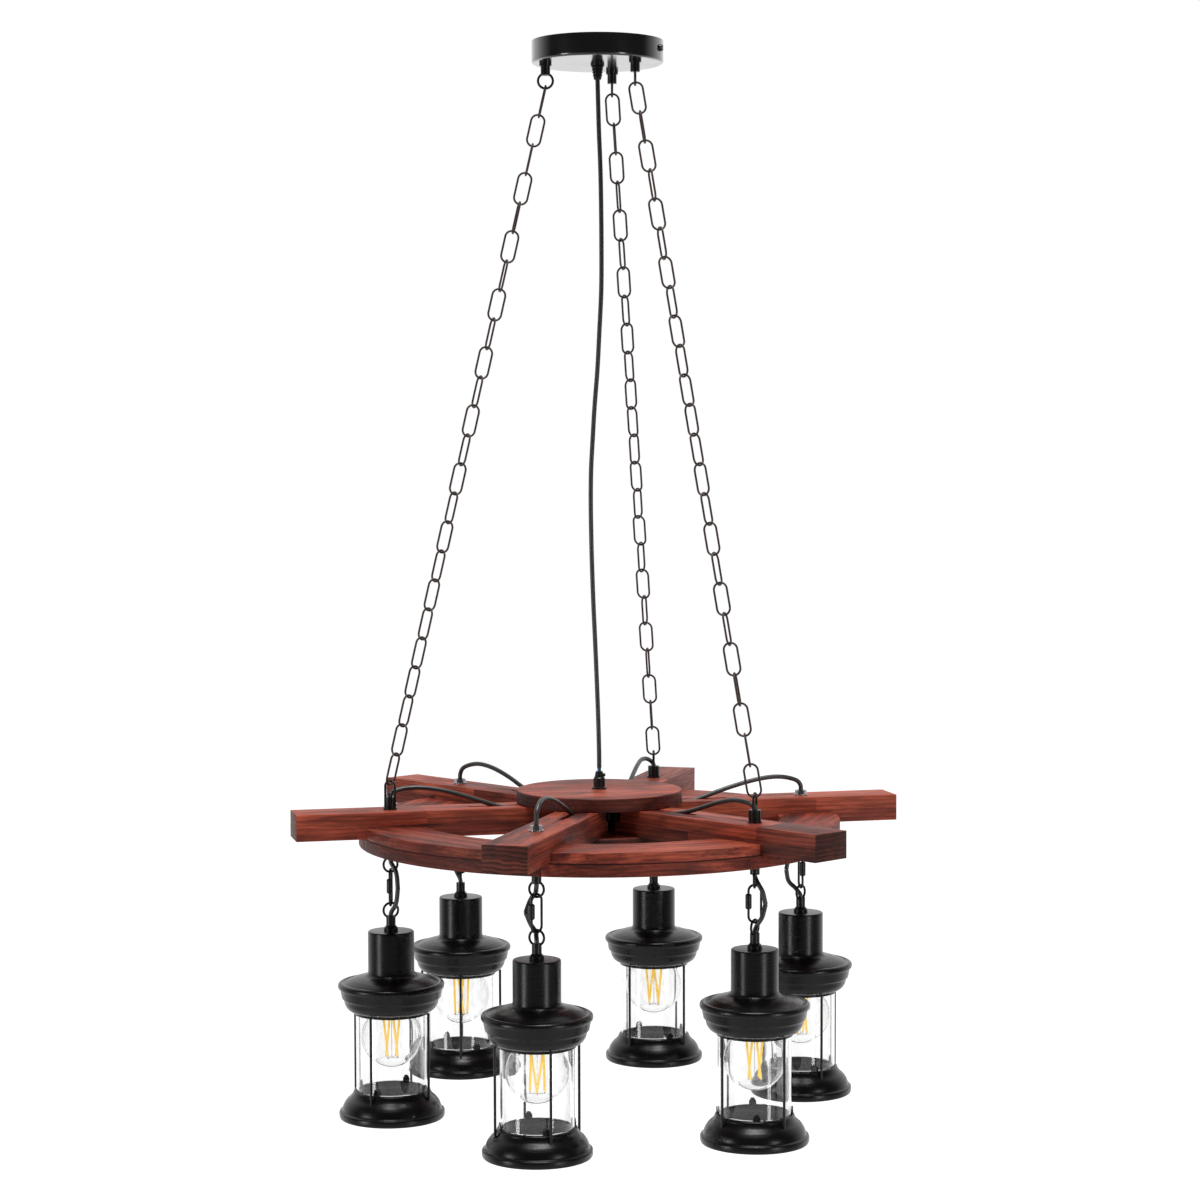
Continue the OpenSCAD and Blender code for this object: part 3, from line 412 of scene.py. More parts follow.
# %% Lamp cords over the spokes
spoke_cord_points = {
    "a": [(205, 0, 5), (204.6, 0, 10), (200, 0, 15), (188, 1, 18.3), (173, 1, 18.7),
        (153, 0.5, 15.6), (131, 0, 10), (112, 0, 4), (96, 0, -1.2), (84, 0, -2.7), (70, 0, -2.7),
        (56, 0, -2.7)],
    "b": [(205, 0, 10.5), (205, 0, 13.2), (204.2, 1.2, 15.6), (201, 3.4, 18.4), (193, 5.4, 20.6),
        (179, 5.8, 21.2), (162, 4, 20.2), (142, 2, 16.5), (121, 0.5, 10), (104, 0, 3.2),
        (92, 0, -1.6), (80, 0, -2.7), (56, 0, -2.7)],
    "c": [(205, 0, 5), (204.6, 0, 10), (200, 0, 16.5), (188, -1, 21), (173, -1, 22.4),
        (153, -0.5, 19.8), (131, 0, 13.4), (112, 0, 5.6), (97, 0, -0.4), (85, 0, -2.7),
        (70, 0, -2.7), (56, 0, -2.7)],
    "d": [(205, 0, 10.5), (205, 0, 13), (204, -0.7, 15), (200.5, -2.2, 17), (191, -3.2, 19),
        (176, -2, 19.6), (157, -1, 17), (137, 0, 11.6), (117, 0, 5), (100, 0, -0.6), (87, 0, -2.7),
        (70, 0, -2.7), (56, 0, -2.7)],
    "e": [(205, 0, 5), (205, 0, 11), (202.5, 0, 18), (194, 0, 24), (180, 0, 25.8), (163, 0, 23.8),
        (141, 0, 18), (119, 0, 10.4), (100, 0, 3.4), (88, 0, -1.4), (78, 0, -2.7), (56, 0, -2.7)],
    "f": [(205, 0, 10.5), (205, 0, 13), (204.2, -0.5, 15), (200, -1.6, 17.4), (190, -2, 18.8),
        (175, -1, 18), (155, 0, 13.2), (136, 0, 7), (118, 0, 1.6), (102, 0, -1.6), (90, 0, -2.7),
        (76, 0, -2.7), (56, 0, -2.7)]}
for letter, angle in zip(letters, spoke_angle):
    turned = Matrix.Rotation(angle, 3, "Z")
    route = smooth_route([turned @ Vector((along / 1000, aside / 1000, up / 1000))
        + Vector((0, 0, wheel_top)) for along, aside, up in spoke_cord_points[letter]])
    cord = cord_between(f"lamp_cord_over_spoke_{letter}", route, "wheel")
    if letter == "a":
        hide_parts("lamp_cords")

# %% [markdown]
# Under the wheel each cord comes out of the open end of its hanger's collar, bows out beside
# the quick link and goes into the open end of the collar on the lantern. One template gives
# all six: its ends are the same, and each cord has its own bow and its own directions. A drop
# end is a height from the collar's open end and a reach away from the hanger's axis.

# %% Lamp cords beside the quick links
collar_under_wheel, collar_over_cup = 0.0105, 0.0143
drop_top = wheel_under - collar_under_wheel
drop_end = cup_top + collar_over_cup
drop_ends = [(-0.0015, 0), (0.001, 0), (0.0035, 0.0008), (0.0065, 0.003), (0.0095, 0.0056)]
shoulder_depth = 0.016
shoulder_share = 0.84
drop_bows = [0.0145, 0.010, 0.0104, 0.0095, 0.0115, 0.0106]
drop_turns = [(147, 165, 167), (132, 120, 137), (135, 150, 135), (-35, -40, -40), (100, 150, 100),
    (-50, -25, -61)]
for letter, place, bow, (first, middle_turn, last) in zip(letters, hanger, drop_bows, drop_turns):
    shoulder = bow * shoulder_share
    template = [*((drop_top - down, reach, first) for down, reach in drop_ends),
        (drop_top - shoulder_depth, shoulder, (first + middle_turn) / 2),
        ((drop_top + drop_end) / 2, bow, middle_turn),
        (drop_end + shoulder_depth, shoulder, (middle_turn + last) / 2),
        *((drop_end + down, reach, last) for down, reach in reversed(drop_ends))]
    points = [(place.x + reach * math.cos(math.radians(turn)),
        place.y + reach * math.sin(math.radians(turn)), z) for z, reach, turn in template]
    meeting_point = len(points) // 2
    cord_between(f"lamp_cord_upper_{letter}", smooth_route(points[:meeting_point + 1]),
        "wheel", f"link_{letter}")
    cord_between(f"lamp_cord_lower_{letter}", smooth_route(points[meeting_point:]),
        f"link_{letter}", f"lantern_{letter}")

# %% [markdown]
# ## Wood
#
# The wheel is softwood with a red-brown stain: planed boards with eased edges, glued end to
# end here and there, so that the colour changes at a joint. Each board becomes a piece of its
# own, with its own axes along the grain, so that one material can run the grain along every
# board. Two numbers on the mesh tell the material which tree a board is from and how light its
# stain came out.

# %% Pieces from the model's solids
def middle_of(solid):
    corners = [[pick(v.co[k] for v in solid.verts) for pick in (min, max)] for k in range(3)]
    return Vector([(low + high) / 2 for low, high in corners])


def angle_of(solid):
    middle = middle_of(solid)
    return math.atan2(middle.y, middle.x) % (2 * math.pi)


def join_flat_faces(solid):
    bmesh.ops.dissolve_limit(solid, angle_limit=math.radians(0.5), verts=solid.verts,
        edges=solid.edges)


def solids_of(node):
    """The separate solids of a node as bmeshes with flat faces, anticlockwise from the X axis."""
    whole = bmesh.new()
    whole.from_mesh(nodes[node].data)
    bmesh.ops.remove_doubles(whole, verts=whole.verts, dist=1e-6)
    left, solids = set(whole.verts), []
    while left:
        island, queue = set(), [next(iter(left))]
        while queue:
            vert = queue.pop()
            if vert not in island:
                island.add(vert)
                queue += [edge.other_vert(vert) for edge in vert.link_edges]
        left -= island
        solid = bmesh.new()
        copies = {vert: solid.verts.new(vert.co) for vert in whole.verts if vert in island}
        for face in whole.faces:
            if face.verts[0] in island:
                solid.faces.new([copies[vert] for vert in face.verts])
        join_flat_faces(solid)
        solids.append(solid)
    whole.free()
    return sorted(solids, key=angle_of)


# %% Boards
sharp_angle = math.radians(25)
tip_trim, same_place = 0.0026, 0.0001
joint_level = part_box("rim_upper_segments")[0][2]
side_slope, eased_slopes = 0.9, (0.1, 0.99)
draw = random.Random(7)


def ease_edges(solid, ease):
    """Rounds every sharp edge a little, as sanding and paint do."""
    sharp = [edge for edge in solid.edges
        if len(edge.link_faces) == 2 and edge.calc_face_angle() > sharp_angle]
    bmesh.ops.bevel(solid, geom=sharp, offset=ease, segments=2, profile=0.6, affect="EDGES",
        clamp_overlap=True)


def square_tip(solid):
    """Saws a spoke's tip square, a little inside the model's, which has its corners cut off."""
    tip = max(v.co.x for v in solid.verts)
    side = max(v.co.y for v in solid.verts)
    for vert in solid.verts:
        if vert.co.x > tip - same_place:
            vert.co.x, vert.co.y = tip - tip_trim, math.copysign(side, vert.co.y)
    join_flat_faces(solid)


def board(name, solid, turn, material, tones, cuts=(), side_tone=None, tip=False, ease=0.0008):
    """Turns a solid into a board whose own X axis lies along the grain, with eased edges.

    cuts are the places along X at which the board is glued up from another piece of wood, and
    tones say how light each piece is, from 0 to 1. side_tone is for the sides of a disc. The
    eased edges at the level of the glued joint between the two layers turn dark."""
    bmesh.ops.rotate(solid, verts=solid.verts, cent=(0, 0, 0),
        matrix=Matrix.Rotation(-turn, 3, "Z"))
    if tip:
        square_tip(solid)
    ease_edges(solid, ease)
    for cut in cuts:
        bmesh.ops.bisect_plane(solid, geom=[*solid.verts, *solid.edges, *solid.faces],
            plane_co=(cut, 0, 0), plane_no=(1, 0, 0))
    seed_layer = solid.faces.layers.float.new("board_seed")
    tone_layer = solid.faces.layers.float.new("board_tone")
    seeds = [draw.uniform(0, 40) for _ in range(len(cuts) + 1)]
    for face in solid.faces:
        middle, slope = face.calc_center_median(), abs(face.normal.z)
        part = sum(middle.x > cut for cut in cuts)
        face[seed_layer], face[tone_layer] = seeds[part], tones[part]
        if side_tone is not None and slope < side_slope:
            face[tone_layer] = side_tone
        if abs(middle.z - joint_level) < ease and eased_slopes[0] < slope < eased_slopes[1]:
            face[tone_layer] = 0.0
    made = finished(name, solid, [material], turn=turn)
    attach(made, "wheel")
    return made


# %% [markdown]
# The stain is red-brown, and darker where it soaked into the soft early wood. A tree's rings
# are tubes round its pith, so one set of rings, with its pith beside the board, makes long
# lines on the sides and arcs on the sawn ends. Stretched noise adds the figure, dark streaks
# and fibres, and end grain drinks more stain, so it turns darker and browner.

# %% Wood finish
def stained_wood(name, light, middle, dark):
    """Stained softwood whose grain follows a board's own X axis, in three colours."""
    wood = Shader(name)
    seed = wood.node("ShaderNodeAttribute", output=2, attribute_name="board_seed")
    tone = wood.node("ShaderNodeAttribute", output=2, attribute_name="board_tone")
    shift = wood.node("ShaderNodeCombineXYZ", [seed * 0.37, seed * 0.11, seed * 0.23])
    point = wood.node("ShaderNodeVectorMath", [wood.place(), shift], operation="ADD")

    def grain(along, across, detail, distortion=0.0):
        stretched = wood.node("ShaderNodeMapping", [point, None, None, (along, across, across)])
        return wood.noise(stretched, 1, detail=detail, distortion=distortion)

    round_pith, pith_distance = seed * 2.4, 0.05
    pith = wood.node("ShaderNodeCombineXYZ", [seed, round_pith.math("SINE") * pith_distance,
        round_pith.math("COSINE") * pith_distance])
    from_pith = wood.node("ShaderNodeVectorMath", [wood.place(), pith], operation="ADD")
    drawn_out = wood.node("ShaderNodeMapping", [from_pith, None, None, (0.1, 1, 1)])
    rings = wood.node("ShaderNodeTexWave",
        {"Vector": drawn_out, "Scale": 78, "Distortion": 5, "Detail": 3, "Detail Scale": 0.7},
        output=1, wave_type="RINGS", rings_direction="X")
    figure = grain(6, 75, 4, 0.8)
    blotches = grain(11, 40, 4, 0.6)
    streaks = wood.range(grain(11, 230, 3, 0.5), 0.53, 0.68)
    fibres = grain(45, 1100, 3)
    spots = wood.node("ShaderNodeMapping", [point, None, None, (7, 15, 15)])
    to_spot = wood.node("ShaderNodeTexVoronoi", {"Vector": spots, "Scale": 1.0})
    knot = wood.range(to_spot, 0.02, 0.12, 1.0, 0.0)
    facing = wood.node("ShaderNodeTexCoord", output="Normal")
    end_grain = wood.range(wood.node("ShaderNodeSeparateXYZ", [facing]).math("ABSOLUTE"), 0.8, 0.95)
    colour = wood.mix(wood.range(figure, 0.36, 0.62), middle, light)
    colour = wood.mix(wood.range(tone, 0.5, 1.0, 0.0, 0.8), colour, light)
    stain = wood.range(tone, 0.5, 1.0, 1.0, 0.55)
    colour = wood.mix(wood.range(blotches, 0.38, 0.66, 0.0, 0.9) * stain, colour, dark)
    colour = wood.mix(wood.range(rings, 0.45, 0.95, 0.0, 0.35) * stain, colour, dark)
    colour = wood.mix(streaks * 0.65 * stain, colour, dark)
    colour = wood.mix(wood.range(fibres, 0.46, 0.72, 0.0, 0.5), colour, dark)
    colour = wood.mix(wood.range(tone, 0.0, 0.5, 0.85, 0.0), colour, dark)
    colour = wood.mix(knot * 0.85, colour, linear(40, 15, 12))
    sawn = wood.mix(wood.range(rings, 0.3, 0.8), linear(92, 46, 38), linear(40, 19, 16))
    sawn = wood.mix(wood.range(tone, 0.0, 0.75, 1.0, 0.0), sawn, linear(36, 16, 14))
    colour = wood.mix(end_grain * 0.85, colour, sawn)
    wood.set(Base_Color=colour, Specular_IOR_Level=0.22,
        Roughness=wood.range(fibres, 0.3, 0.7, 0.45, 0.62),
        Normal=wood.bump(fibres * 0.6 + rings * 0.4, 0.4, 0.0006))
    return wood.material


top_wood = stained_wood("stained_wood_top", linear(200, 94, 66), linear(146, 57, 42),
    linear(58, 19, 15))
# The lower layer's wood is a darker copy of the same stain: painted shade for the boards that lie
# under the upper ones.
under_wood_painted_shade = stained_wood("stained_wood_under_painted_shade", linear(180, 80, 56), linear(120, 45, 33),
    linear(46, 15, 12))

# %% Spokes
upper_cuts = {"a": [0.214], "b": [0.19], "c": [0.16], "d": [0.173], "e": [0.12], "f": [0.226]}
lower_cuts = {"a": [0.12], "b": [0.25], "c": [0.22], "d": [0.24], "e": [0.2], "f": [0.14]}
upper_tones = {"a": (0.9, 1.0), "b": (0.5, 0.65), "c": (0.35, 0.6), "d": (0.8, 0.85),
    "e": (0.5, 0.36), "f": (0.5, 0.22)}
lower_tones = {"a": (0.5, 0.8), "b": (0.3, 0.5), "c": (0.4, 0.3), "d": (0.5, 0.9),
    "e": (0.35, 0.75), "f": (0.2, 0.35)}
for node, cuts, tones, material, slot_name in (
        ("spoke_upper_boards", upper_cuts, upper_tones, top_wood, "wood_top"),
        ("spoke_lower_boards", lower_cuts, lower_tones, under_wood_painted_shade, "wood_under")):
    for letter, angle, solid in zip(letters, spoke_angle, solids_of(node)):
        piece = board(f"{node.removesuffix('_boards')}_{letter}", solid, angle, material,
            tones[letter], cuts[letter], tip=True)
        if letter == "a":
            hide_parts(node)
    print(node, "are 6 pieces")

# %% Rim
for node, tones, material, slot_name in (
        ("rim_upper_segments", (0.4, 0.5, 0.4, 0.25, 0.6, 0.35), top_wood, "wood_top"),
        ("rim_lower_segments", (0.4, 0.45, 0.35, 0.15, 0.4, 0.5), under_wood_painted_shade, "wood_under")):
    for letter, tone, solid in zip(letters, tones, solids_of(node)):
        piece = board(f"{node.removesuffix('_segments')}_{letter}", solid,
            angle_of(solid) + math.pi / 2, material, [tone])
        if letter == "a":
            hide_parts(node)
    print(node, "are 6 pieces")

# %% Hub discs
disc_tone, disc_side_tone, disc_ease = 0.6, 0.08, 0.0006
for node, material, slot_name, turn in (("hub_top_disc", top_wood, "wood_top", 0.25),
        ("hub_lower_disc", under_wood_painted_shade, "wood_under", 1.2)):
    piece = board(f"{node}_board_0", solids_of(node)[0], turn, material, [disc_tone],
        side_tone=disc_side_tone, ease=disc_ease)
    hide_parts(node)
    print(node, "has its grain at", round(math.degrees(turn)), "degrees")

# %% [markdown]
# ## Metal
#
# The canopy, the fittings and the lanterns are steel with satin black paint. The spun pieces
# keep fine turning marks round their axis. The chain is a browner black, and the nuts on top
# of three spokes are bright nickel.

# %% Metal finishes
def black_paint(name, colour, roughness, turned=0.0, speckle=600, strength=0.2, coat=0.0,
        gloss=0.4):
    """Satin black paint with a fine orange peel.

    turned is the strength of the turning marks round a spun piece's axis. speckle is the scale
    and strength the depth of the peel, coat is a clear lacquer, and gloss is how much the paint
    itself mirrors."""
    paint = Shader(name)
    point = paint.place()
    peel = paint.noise(point, speckle, detail=2)
    wear = paint.noise(point, 34, detail=4)
    worn = tuple(c * 1.6 for c in colour)
    peel_depth = 0.15 if turned else 0.4
    height = peel * peel_depth
    if turned:
        up = paint.node("ShaderNodeSeparateXYZ", [point], output=2)
        line = paint.node("ShaderNodeCombineXYZ", [0.0, 0.0, up])
        fine, coarse = paint.noise(line, 1400, detail=3), paint.noise(line, 380, detail=1)
        height = height + fine * turned + coarse * turned
    paint.set(Base_Color=paint.mix(wear, colour, worn),
        Roughness=paint.range(wear, 0.3, 0.7, roughness - 0.03, roughness + 0.05),
        Normal=paint.bump(height, strength, 0.0003), Specular_IOR_Level=gloss, Coat_Weight=coat,
        Coat_Roughness=0.12)
    return paint.material


satin_black = black_paint("satin_black", linear(8, 8, 9), 0.32, strength=0.1)
spun_black = black_paint("spun_black", linear(7, 7, 8), 0.26, turned=0.8, strength=0.45, gloss=0.34)
canopy_black = black_paint("canopy_black", linear(8, 8, 9), 0.2, speckle=300, strength=0.05,
    coat=1.0)
chain_black = black_paint("chain_black", linear(50, 38, 35), 0.42, speckle=260, strength=0.05)
grip_black = black_paint("grip_plastic", linear(12, 12, 13), 0.35, strength=0.1)

nickel = Shader("bright_nickel")
scratches = nickel.noise(nickel.place((1, 1, 9)), 260, detail=3)
nickel.set(Base_Color=linear(170, 170, 174), Metallic=1.0,
    Roughness=nickel.range(scratches, 0.3, 0.7, 0.14, 0.3),
    Normal=nickel.bump(scratches, 0.1, 0.0002))
zinc = Shader("bracket_zinc")
spangle = zinc.noise(zinc.place(), 180, detail=3)
zinc.set(Base_Color=linear(168, 170, 172), Metallic=1.0,
    Roughness=zinc.range(spangle, 0.3, 0.7, 0.3, 0.5))
terminal_white = Shader("terminal_white")
mottle = terminal_white.noise(terminal_white.place(), 120, detail=2)
terminal_white.set(Roughness=0.4,
    Base_Color=terminal_white.mix(mottle, linear(222, 218, 205), linear(236, 233, 224)))

# %% Finishes for the model's own pieces
finishes = {"canopy_pan": canopy_black, "canopy_cord_grip": grip_black, "hub_cord_grip": grip_black,
    "ceiling_bracket": zinc.material, "terminal_block": terminal_white.material,
    "hub_terminal_block": grip_black}
screw_heads_from = 0.0625
for name, node in nodes.items():
    chain = name.startswith("chain_") and name != "chain_loops"
    node.data.materials.clear()
    node.data.materials.append(finishes.get(name, chain_black if chain else satin_black))

bracket = nodes["ceiling_bracket"].data
bracket.materials.append(satin_black)
for face in bracket.polygons:
    if face.center.xy.length > screw_heads_from:
        face.material_index = 1
print(len(nodes), "nodes have their finish, and the bracket's screw heads are black")

# %% [markdown]
# Each bright nut stands on its washer round a lamp cord, on the spokes without a chain. Its
# outside is drawn a little narrower than the model's, and its bore stays as it is.

# %% Nuts with their washers on the spokes
nut_share, nut_ease = 0.86, 0.0004
for k, solid in enumerate(solids_of("cord_nuts")):
    ease_edges(solid, nut_ease)
    middle = middle_of(solid)
    for vert in solid.verts:
        if (vert.co - middle).xy.length > cord_diameter:
            vert.co.xy = middle.xy + (vert.co - middle).xy * nut_share
    piece = finished(f"cord_nut_{k}", solid, [nickel.material])
    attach(piece, "wheel")
    if k == 0:
        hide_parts("cord_nuts")
print(k + 1, "nuts, drawn at", nut_share, "of the model's width")

# %% [markdown]
# ## Lanterns
#
# Cap and base are spun from thin sheet, so each is a profile turned round the lantern's axis.
# The profile's corners are rounded first, because a spun edge is never sharp and its
# highlight shows the form. Inside and outside are one wall of even thickness.

# %% Profile helpers
def rounded(profile, radius, steps=4, longest_share=0.45):
    """A profile whose corners between its ends are replaced by short curves."""
    profile = [Vector(p) for p in profile]
    soft = [profile[0]]
    for a, b, c in zip(profile, profile[1:], profile[2:]):
        reach_a = min(radius, (a - b).length * longest_share)
        reach_c = min(radius, (c - b).length * longest_share)
        start, end = b + (a - b).normalized() * reach_a, b + (c - b).normalized() * reach_c
        for k in range(steps + 1):
            t = k / steps
            soft.append((1 - t) ** 2 * start + 2 * t * (1 - t) * b + t * t * end)
    return soft + [profile[-1]]


def walled(profile, wall):
    """A closed outline: the profile, and the same profile moved in by the wall."""
    inner = []
    for k, point in enumerate(profile):
        aim = (profile[min(k + 1, len(profile) - 1)] - profile[max(k - 1, 0)]).normalized()
        inward = point + Vector((aim.y, -aim.x)) * wall
        inner.append(Vector((max(inward.x, 0), inward.y)))
    return profile + inner[::-1]


def spun(outline, material, segments=96, closed=True):
    """Turns an outline of (radius, height) points round the Z axis. Points on the axis meet.

    Gives the mesh together with its material, as every helper for a lantern's piece does."""
    mesh = bmesh.new()
    turns = [2 * math.pi * s / segments for s in range(segments)]
    rings = []
    for radius, height in outline:
        if radius < 1e-6:
            rings.append([mesh.verts.new((0, 0, height))] * segments)
        else:
            rings.append([mesh.verts.new((radius * math.cos(a), radius * math.sin(a), height))
                for a in turns])
    for one, two in zip(rings, rings[1:] + ([rings[0]] if closed else [])):
        for s in range(segments):
            corners = [one[s], one[(s + 1) % segments], two[(s + 1) % segments], two[s]]
            corners = [v for k, v in enumerate(corners) if v not in corners[:k]]
            if len(corners) > 2:
                mesh.faces.new(corners).smooth = True
    bmesh.ops.recalc_face_normals(mesh, faces=mesh.faces)
    return mesh, material


def joined(parts):
    """One mesh from several (bmesh, material) pairs, which are used up, and its materials."""
    whole, materials = bmesh.new(), []
    for mesh, material in parts:
        if material not in materials:
            materials.append(material)
        for face in mesh.faces:
            face.material_index = materials.index(material)
        data = bpy.data.meshes.new("part")
        mesh.to_mesh(data)
        mesh.free()
        whole.from_mesh(data)
        bpy.data.meshes.remove(data)
    return whole, materials


def moved(part, matrix):
    """Moves the mesh of a (bmesh, material) pair."""
    bmesh.ops.transform(part[0], matrix=matrix, verts=part[0].verts)
    return part


def in_metres(points, start=0.0):
    """Points of (radius, height) from millimetres to metres, with their heights from start."""
    return [(r / 1000, (z + start) / 1000) for r, z in points]


# %% Lantern outlines, in millimetres from the top of the cup
cap_profile = in_metres([(4.2, 0), (20.5, 0), (21.6, -0.4), (22, -1.5), (22, -38.4), (22.5, -40.6),
    (23.9, -42.2), (26.6, -43.1), (31, -43.9), (38, -46), (43.2, -48.4), (44.7, -49.4),
    (45.6, -49.4), (46.6, -48.7), (48.6, -48.9), (50.2, -50), (50.8, -51.4), (50.8, -53.2),
    (50.3, -54.6), (48.8, -55), (47.2, -64), (45.5, -64.9), (44.3, -70.1), (42, -73.9),
    (39.2, -75.9), (36.4, -76.3), (35.4, -76.8), (35.4, -79.1)])
base_top = -152.5
base_profile = in_metres([(31, 0), (35.4, 0), (36.6, -1), (37.2, -3), (39.2, -6), (43, -9.3),
    (45.6, -12.8), (47, -16.2), (47.5, -18.4), (48.2, -19.3), (49.8, -19.9), (50.4, -21),
    (50.4, -25), (49.6, -26.5)], base_top)
glass_outline = in_metres([(32.2, -152), (32.6, -152.4), (33.6, -152.4), (34, -152), (34, -75.9),
    (33.6, -75.5), (32.6, -75.5), (32.2, -75.9)])
sheet, cap_rounding, base_rounding = 0.001, 0.0011, 0.0012
print("cap", round(-1000 * cap_profile[-1][1], 1), "mm and base",
    round(base_top - 1000 * base_profile[-1][1], 1), "mm tall")

# %% [markdown]
# The glass is a plain clear cylinder with melted, rounded ends, and the bulb is a clear
# globe. Clear glass is a transmission shader with the real index of refraction. The wall's
# real thickness makes its edges darker, so both are modelled as walls, not as bare surfaces.
# The shader adds painted shade where the wall is seen edge on, which darkens the edges more.

# %% Glass and filament finishes
def clear_glass(name, tint, edge):
    """Clear glass with a tint, and with painted shade where the wall is seen edge on."""
    glass = Shader(name)
    haze = glass.noise(glass.place(), 60, detail=2)
    edge_on_shade_mask = glass.node("ShaderNodeLayerWeight", {"Blend": 0.5}, output=1)
    glass.set(Base_Color=glass.mix(glass.range(edge_on_shade_mask, 0.45, 0.95), tint, edge),
        Roughness=glass.range(haze, 0.5, 0.8, 0.0, 0.03), IOR=1.45, Transmission_Weight=1.0)
    return glass.material


# The last colour of each glass is its painted shade at the outline, where the wall is seen edge on.
lantern_glass = clear_glass("lantern_glass", (0.985, 0.987, 0.988), (0.9, 0.905, 0.905))
bulb_glass = clear_glass("bulb_glass", (0.985, 0.987, 0.983), (0.74, 0.74, 0.73))
# The filaments are not lit, yet their finish gives off a little light: a painted glow that keeps
# them bright yellow in the shade of the cap.
phosphor_with_painted_glow = Shader("filament_phosphor_painted_glow")
grains = phosphor_with_painted_glow.noise(phosphor_with_painted_glow.place(), 700, detail=2)
phosphor_with_painted_glow.set(Base_Color=phosphor_with_painted_glow.mix(grains, linear(250, 200, 50), linear(255, 222, 110)),
    Roughness=0.6, Emission_Color=linear(255, 205, 60), Emission_Strength=0.55)


# %% Rods and tabs
tab_outline = [(-3.5, 0), (3.5, 0), (3.5, 3.2), (1.4, 6.5), (-1.4, 6.5), (-3.5, 3.2)]
tab_inside, tab_outside, tab_sink = 34.3, 35.3, 0.5
rod_circle, rod_radius = 0.0399, 0.00125
rod_foot, rod_top = (base_top - 8) / 1000, -0.0763


def rod(low, high, radius, material, sides=16, ease_share=0.35):
    """A straight rod with eased ends between two points."""
    low, high = Vector(low), Vector(high)
    length, ease = (high - low).length, radius * ease_share
    part = spun([(0, 0), (radius - ease, 0), (radius, ease), (radius, length - ease),
        (radius - ease, length), (0, length)], material, sides, closed=False)
    turn = (high - low).to_track_quat("Z", "Y").to_matrix().to_4x4()
    return moved(part, Matrix.Translation(low) @ turn)


def glass_tab(turn):
    """One of the four tongues, bent up from the base, that keep the glass in its place."""
    mesh = bmesh.new()
    inner, outer = [[mesh.verts.new((r / 1000, y / 1000, (base_top - tab_sink + z) / 1000))
        for y, z in tab_outline] for r in (tab_inside, tab_outside)]
    mesh.faces.new(inner)
    mesh.faces.new(outer[::-1])
    for k in range(len(inner)):
        after = (k + 1) % len(inner)
        mesh.faces.new((inner[k], outer[k], outer[after], inner[after]))
    bmesh.ops.recalc_face_normals(mesh, faces=mesh.faces)
    return moved((mesh, spun_black), Matrix.Rotation(turn, 4, "Z"))


# %% Cap, cage and glass
def cap():
    return joined([spun(walled(rounded(cap_profile, cap_rounding), sheet), spun_black)])


def cage(tab_turn):
    """The base with its four rods and its four tabs, which are turned by some degrees."""
    rods = []
    for k in range(4):
        a = math.pi / 2 * (k - 1)
        x, y = rod_circle * math.cos(a), rod_circle * math.sin(a)
        rods.append(rod((x, y, rod_foot), (x, y, rod_top), rod_radius, satin_black))
    tabs = [glass_tab(math.radians(90 * k + tab_turn)) for k in range(4)]
    base = spun(walled(rounded(base_profile, base_rounding), sheet), spun_black)
    return joined([base, *rods, *tabs])


def glass():
    return joined([spun(glass_outline, lantern_glass)])


# %% [markdown]
# The bulb holds four straight LED filaments. Each is a thin stick of yellow phosphor whose
# lower end is turned an eighth of a circle from its upper end. From one side the four look
# like a W, and from another like an M.

# %% Bulb's glass
globe_middle, globe_radius, globe_wall = -0.1019, 0.029, 0.0007
globe_start, globe_sweep, globe_steps = 44, 134, 30
neck_profile = in_metres([(13, -46.9), (14, -49.9), (14.4, -54.9)])
stem_outline = in_metres([(0, -80.8), (1.2, -80.4), (1.6, -78), (2.2, -68), (4, -50), (4.2, -46.9),
    (0, -46.9)])


def globe():
    """The bulb's glass with its neck, and the glass stem that holds the wires."""
    turns = [math.radians(globe_start - globe_sweep * k / globe_steps)
        for k in range(globe_steps + 1)]
    ball = [Vector((globe_radius * math.cos(a), globe_middle + globe_radius * math.sin(a)))
        for a in turns]
    ball[-1].x = 0
    neck = [Vector(p) for p in neck_profile]
    stem = spun(stem_outline, bulb_glass, 32, closed=False)
    return joined([spun(walled(neck + ball, globe_wall), bulb_glass, 64), stem])


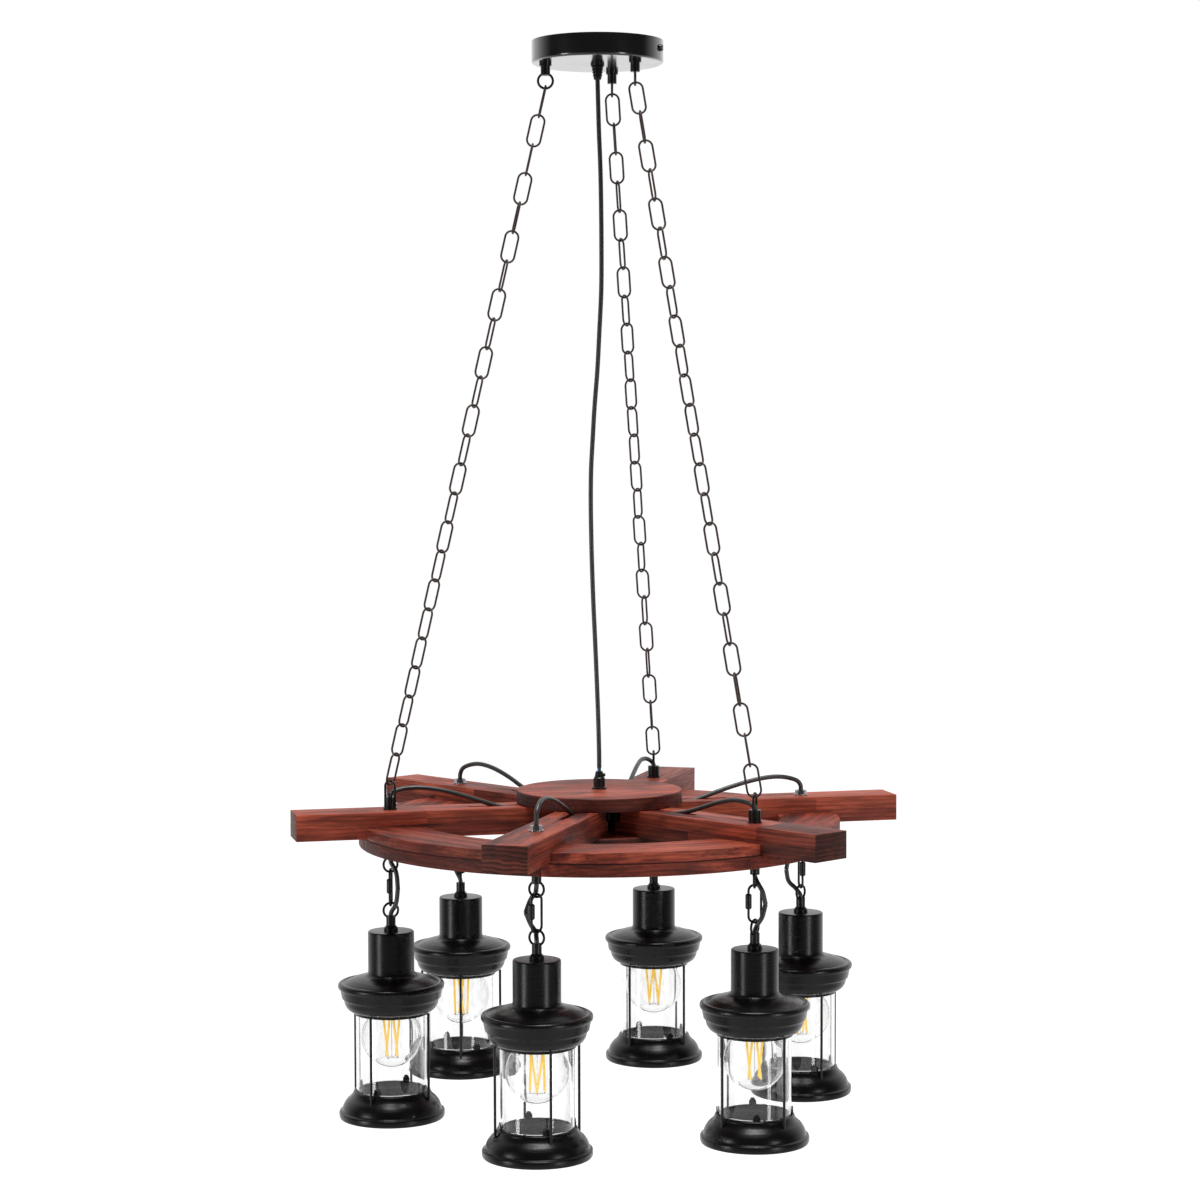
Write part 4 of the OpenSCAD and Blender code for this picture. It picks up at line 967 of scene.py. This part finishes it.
# %% Bulb's filaments and screw cap
filament_top, filament_foot, filament_radius = -0.0824, -0.1204, 0.00115
top_circle, foot_circle = 0.008, 0.0067
ferrule_out, ferrule_in, ferrule_radius = 0.0018, 0.0004, 0.0006
centre_wire_top, centre_wire_foot, centre_wire_radius = -0.0806, filament_foot - 0.002, 0.0003
side_wire_rise, side_wire_radius = 0.0015, 0.00025
thread_radius, thread_depth, thread_start, half_pitch = 13.1, 0.9, -44.8, 1.75
thread = [(thread_radius - thread_depth * (k % 2), thread_start + half_pitch * k)
    for k in range(10)]
screw_outline = in_metres([(0, -46.8), (12.6, -46.8), *thread, (11, -26.9), (5, -22.9), (0, -22.9)])


def bulb_core():
    """The screw cap, the wires and the four filaments, each with a ferrule at both ends."""
    steel = nickel.material
    parts = [spun(screw_outline, steel, 48, closed=False),
        rod((0, 0, centre_wire_foot), (0, 0, centre_wire_top), centre_wire_radius, steel, 8)]
    for k in range(4):
        a, b = math.radians(90 * k), math.radians(90 * k + 45)
        top = Vector((top_circle * math.cos(a), top_circle * math.sin(a), filament_top))
        foot = Vector((foot_circle * math.cos(b), foot_circle * math.sin(b), filament_foot))
        parts.append(rod(foot, top, filament_radius, phosphor_with_painted_glow.material, 12))
        for end, other, rise in ((top, foot, side_wire_rise), (foot, top, 0)):
            out = (end - other).normalized()
            tip = end + out * ferrule_out
            parts.append(rod(end - out * ferrule_in, tip, ferrule_radius, steel, 8))
            parts.append(rod(tip, (0, 0, tip.z + rise), side_wire_radius, steel, 6))
    return joined(parts)


# %% Hang the six lanterns
lantern_turns = [27, 50, 2, 65, 19, 39]
tab_turns = [20, 27, 30, -20, 15, 0]
bulb_turns = [20, 0, 70, 15, 45, 10]
for letter, place, turn, tab_turn, bulb_turn in zip(letters, hanger, lantern_turns, tab_turns,
        bulb_turns):
    for part, made, finish, angle in (("cap", cap(), "black_metal", turn),
            ("cage", cage(tab_turn - turn), "black_metal", turn), ("glass", glass(), "glass", turn),
            ("bulb", globe(), "glass", bulb_turn), ("core", bulb_core(), "bulb", bulb_turn)):
        piece = finished(f"{part}_of_lantern_{letter}", *made, turn=math.radians(angle),
            place=(place.x, place.y, cup_top))
        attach(piece, f"lantern_{letter}")
        if part != "core":
            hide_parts(f"lantern_{part}_{letter}")
print("six lanterns of 5 pieces")
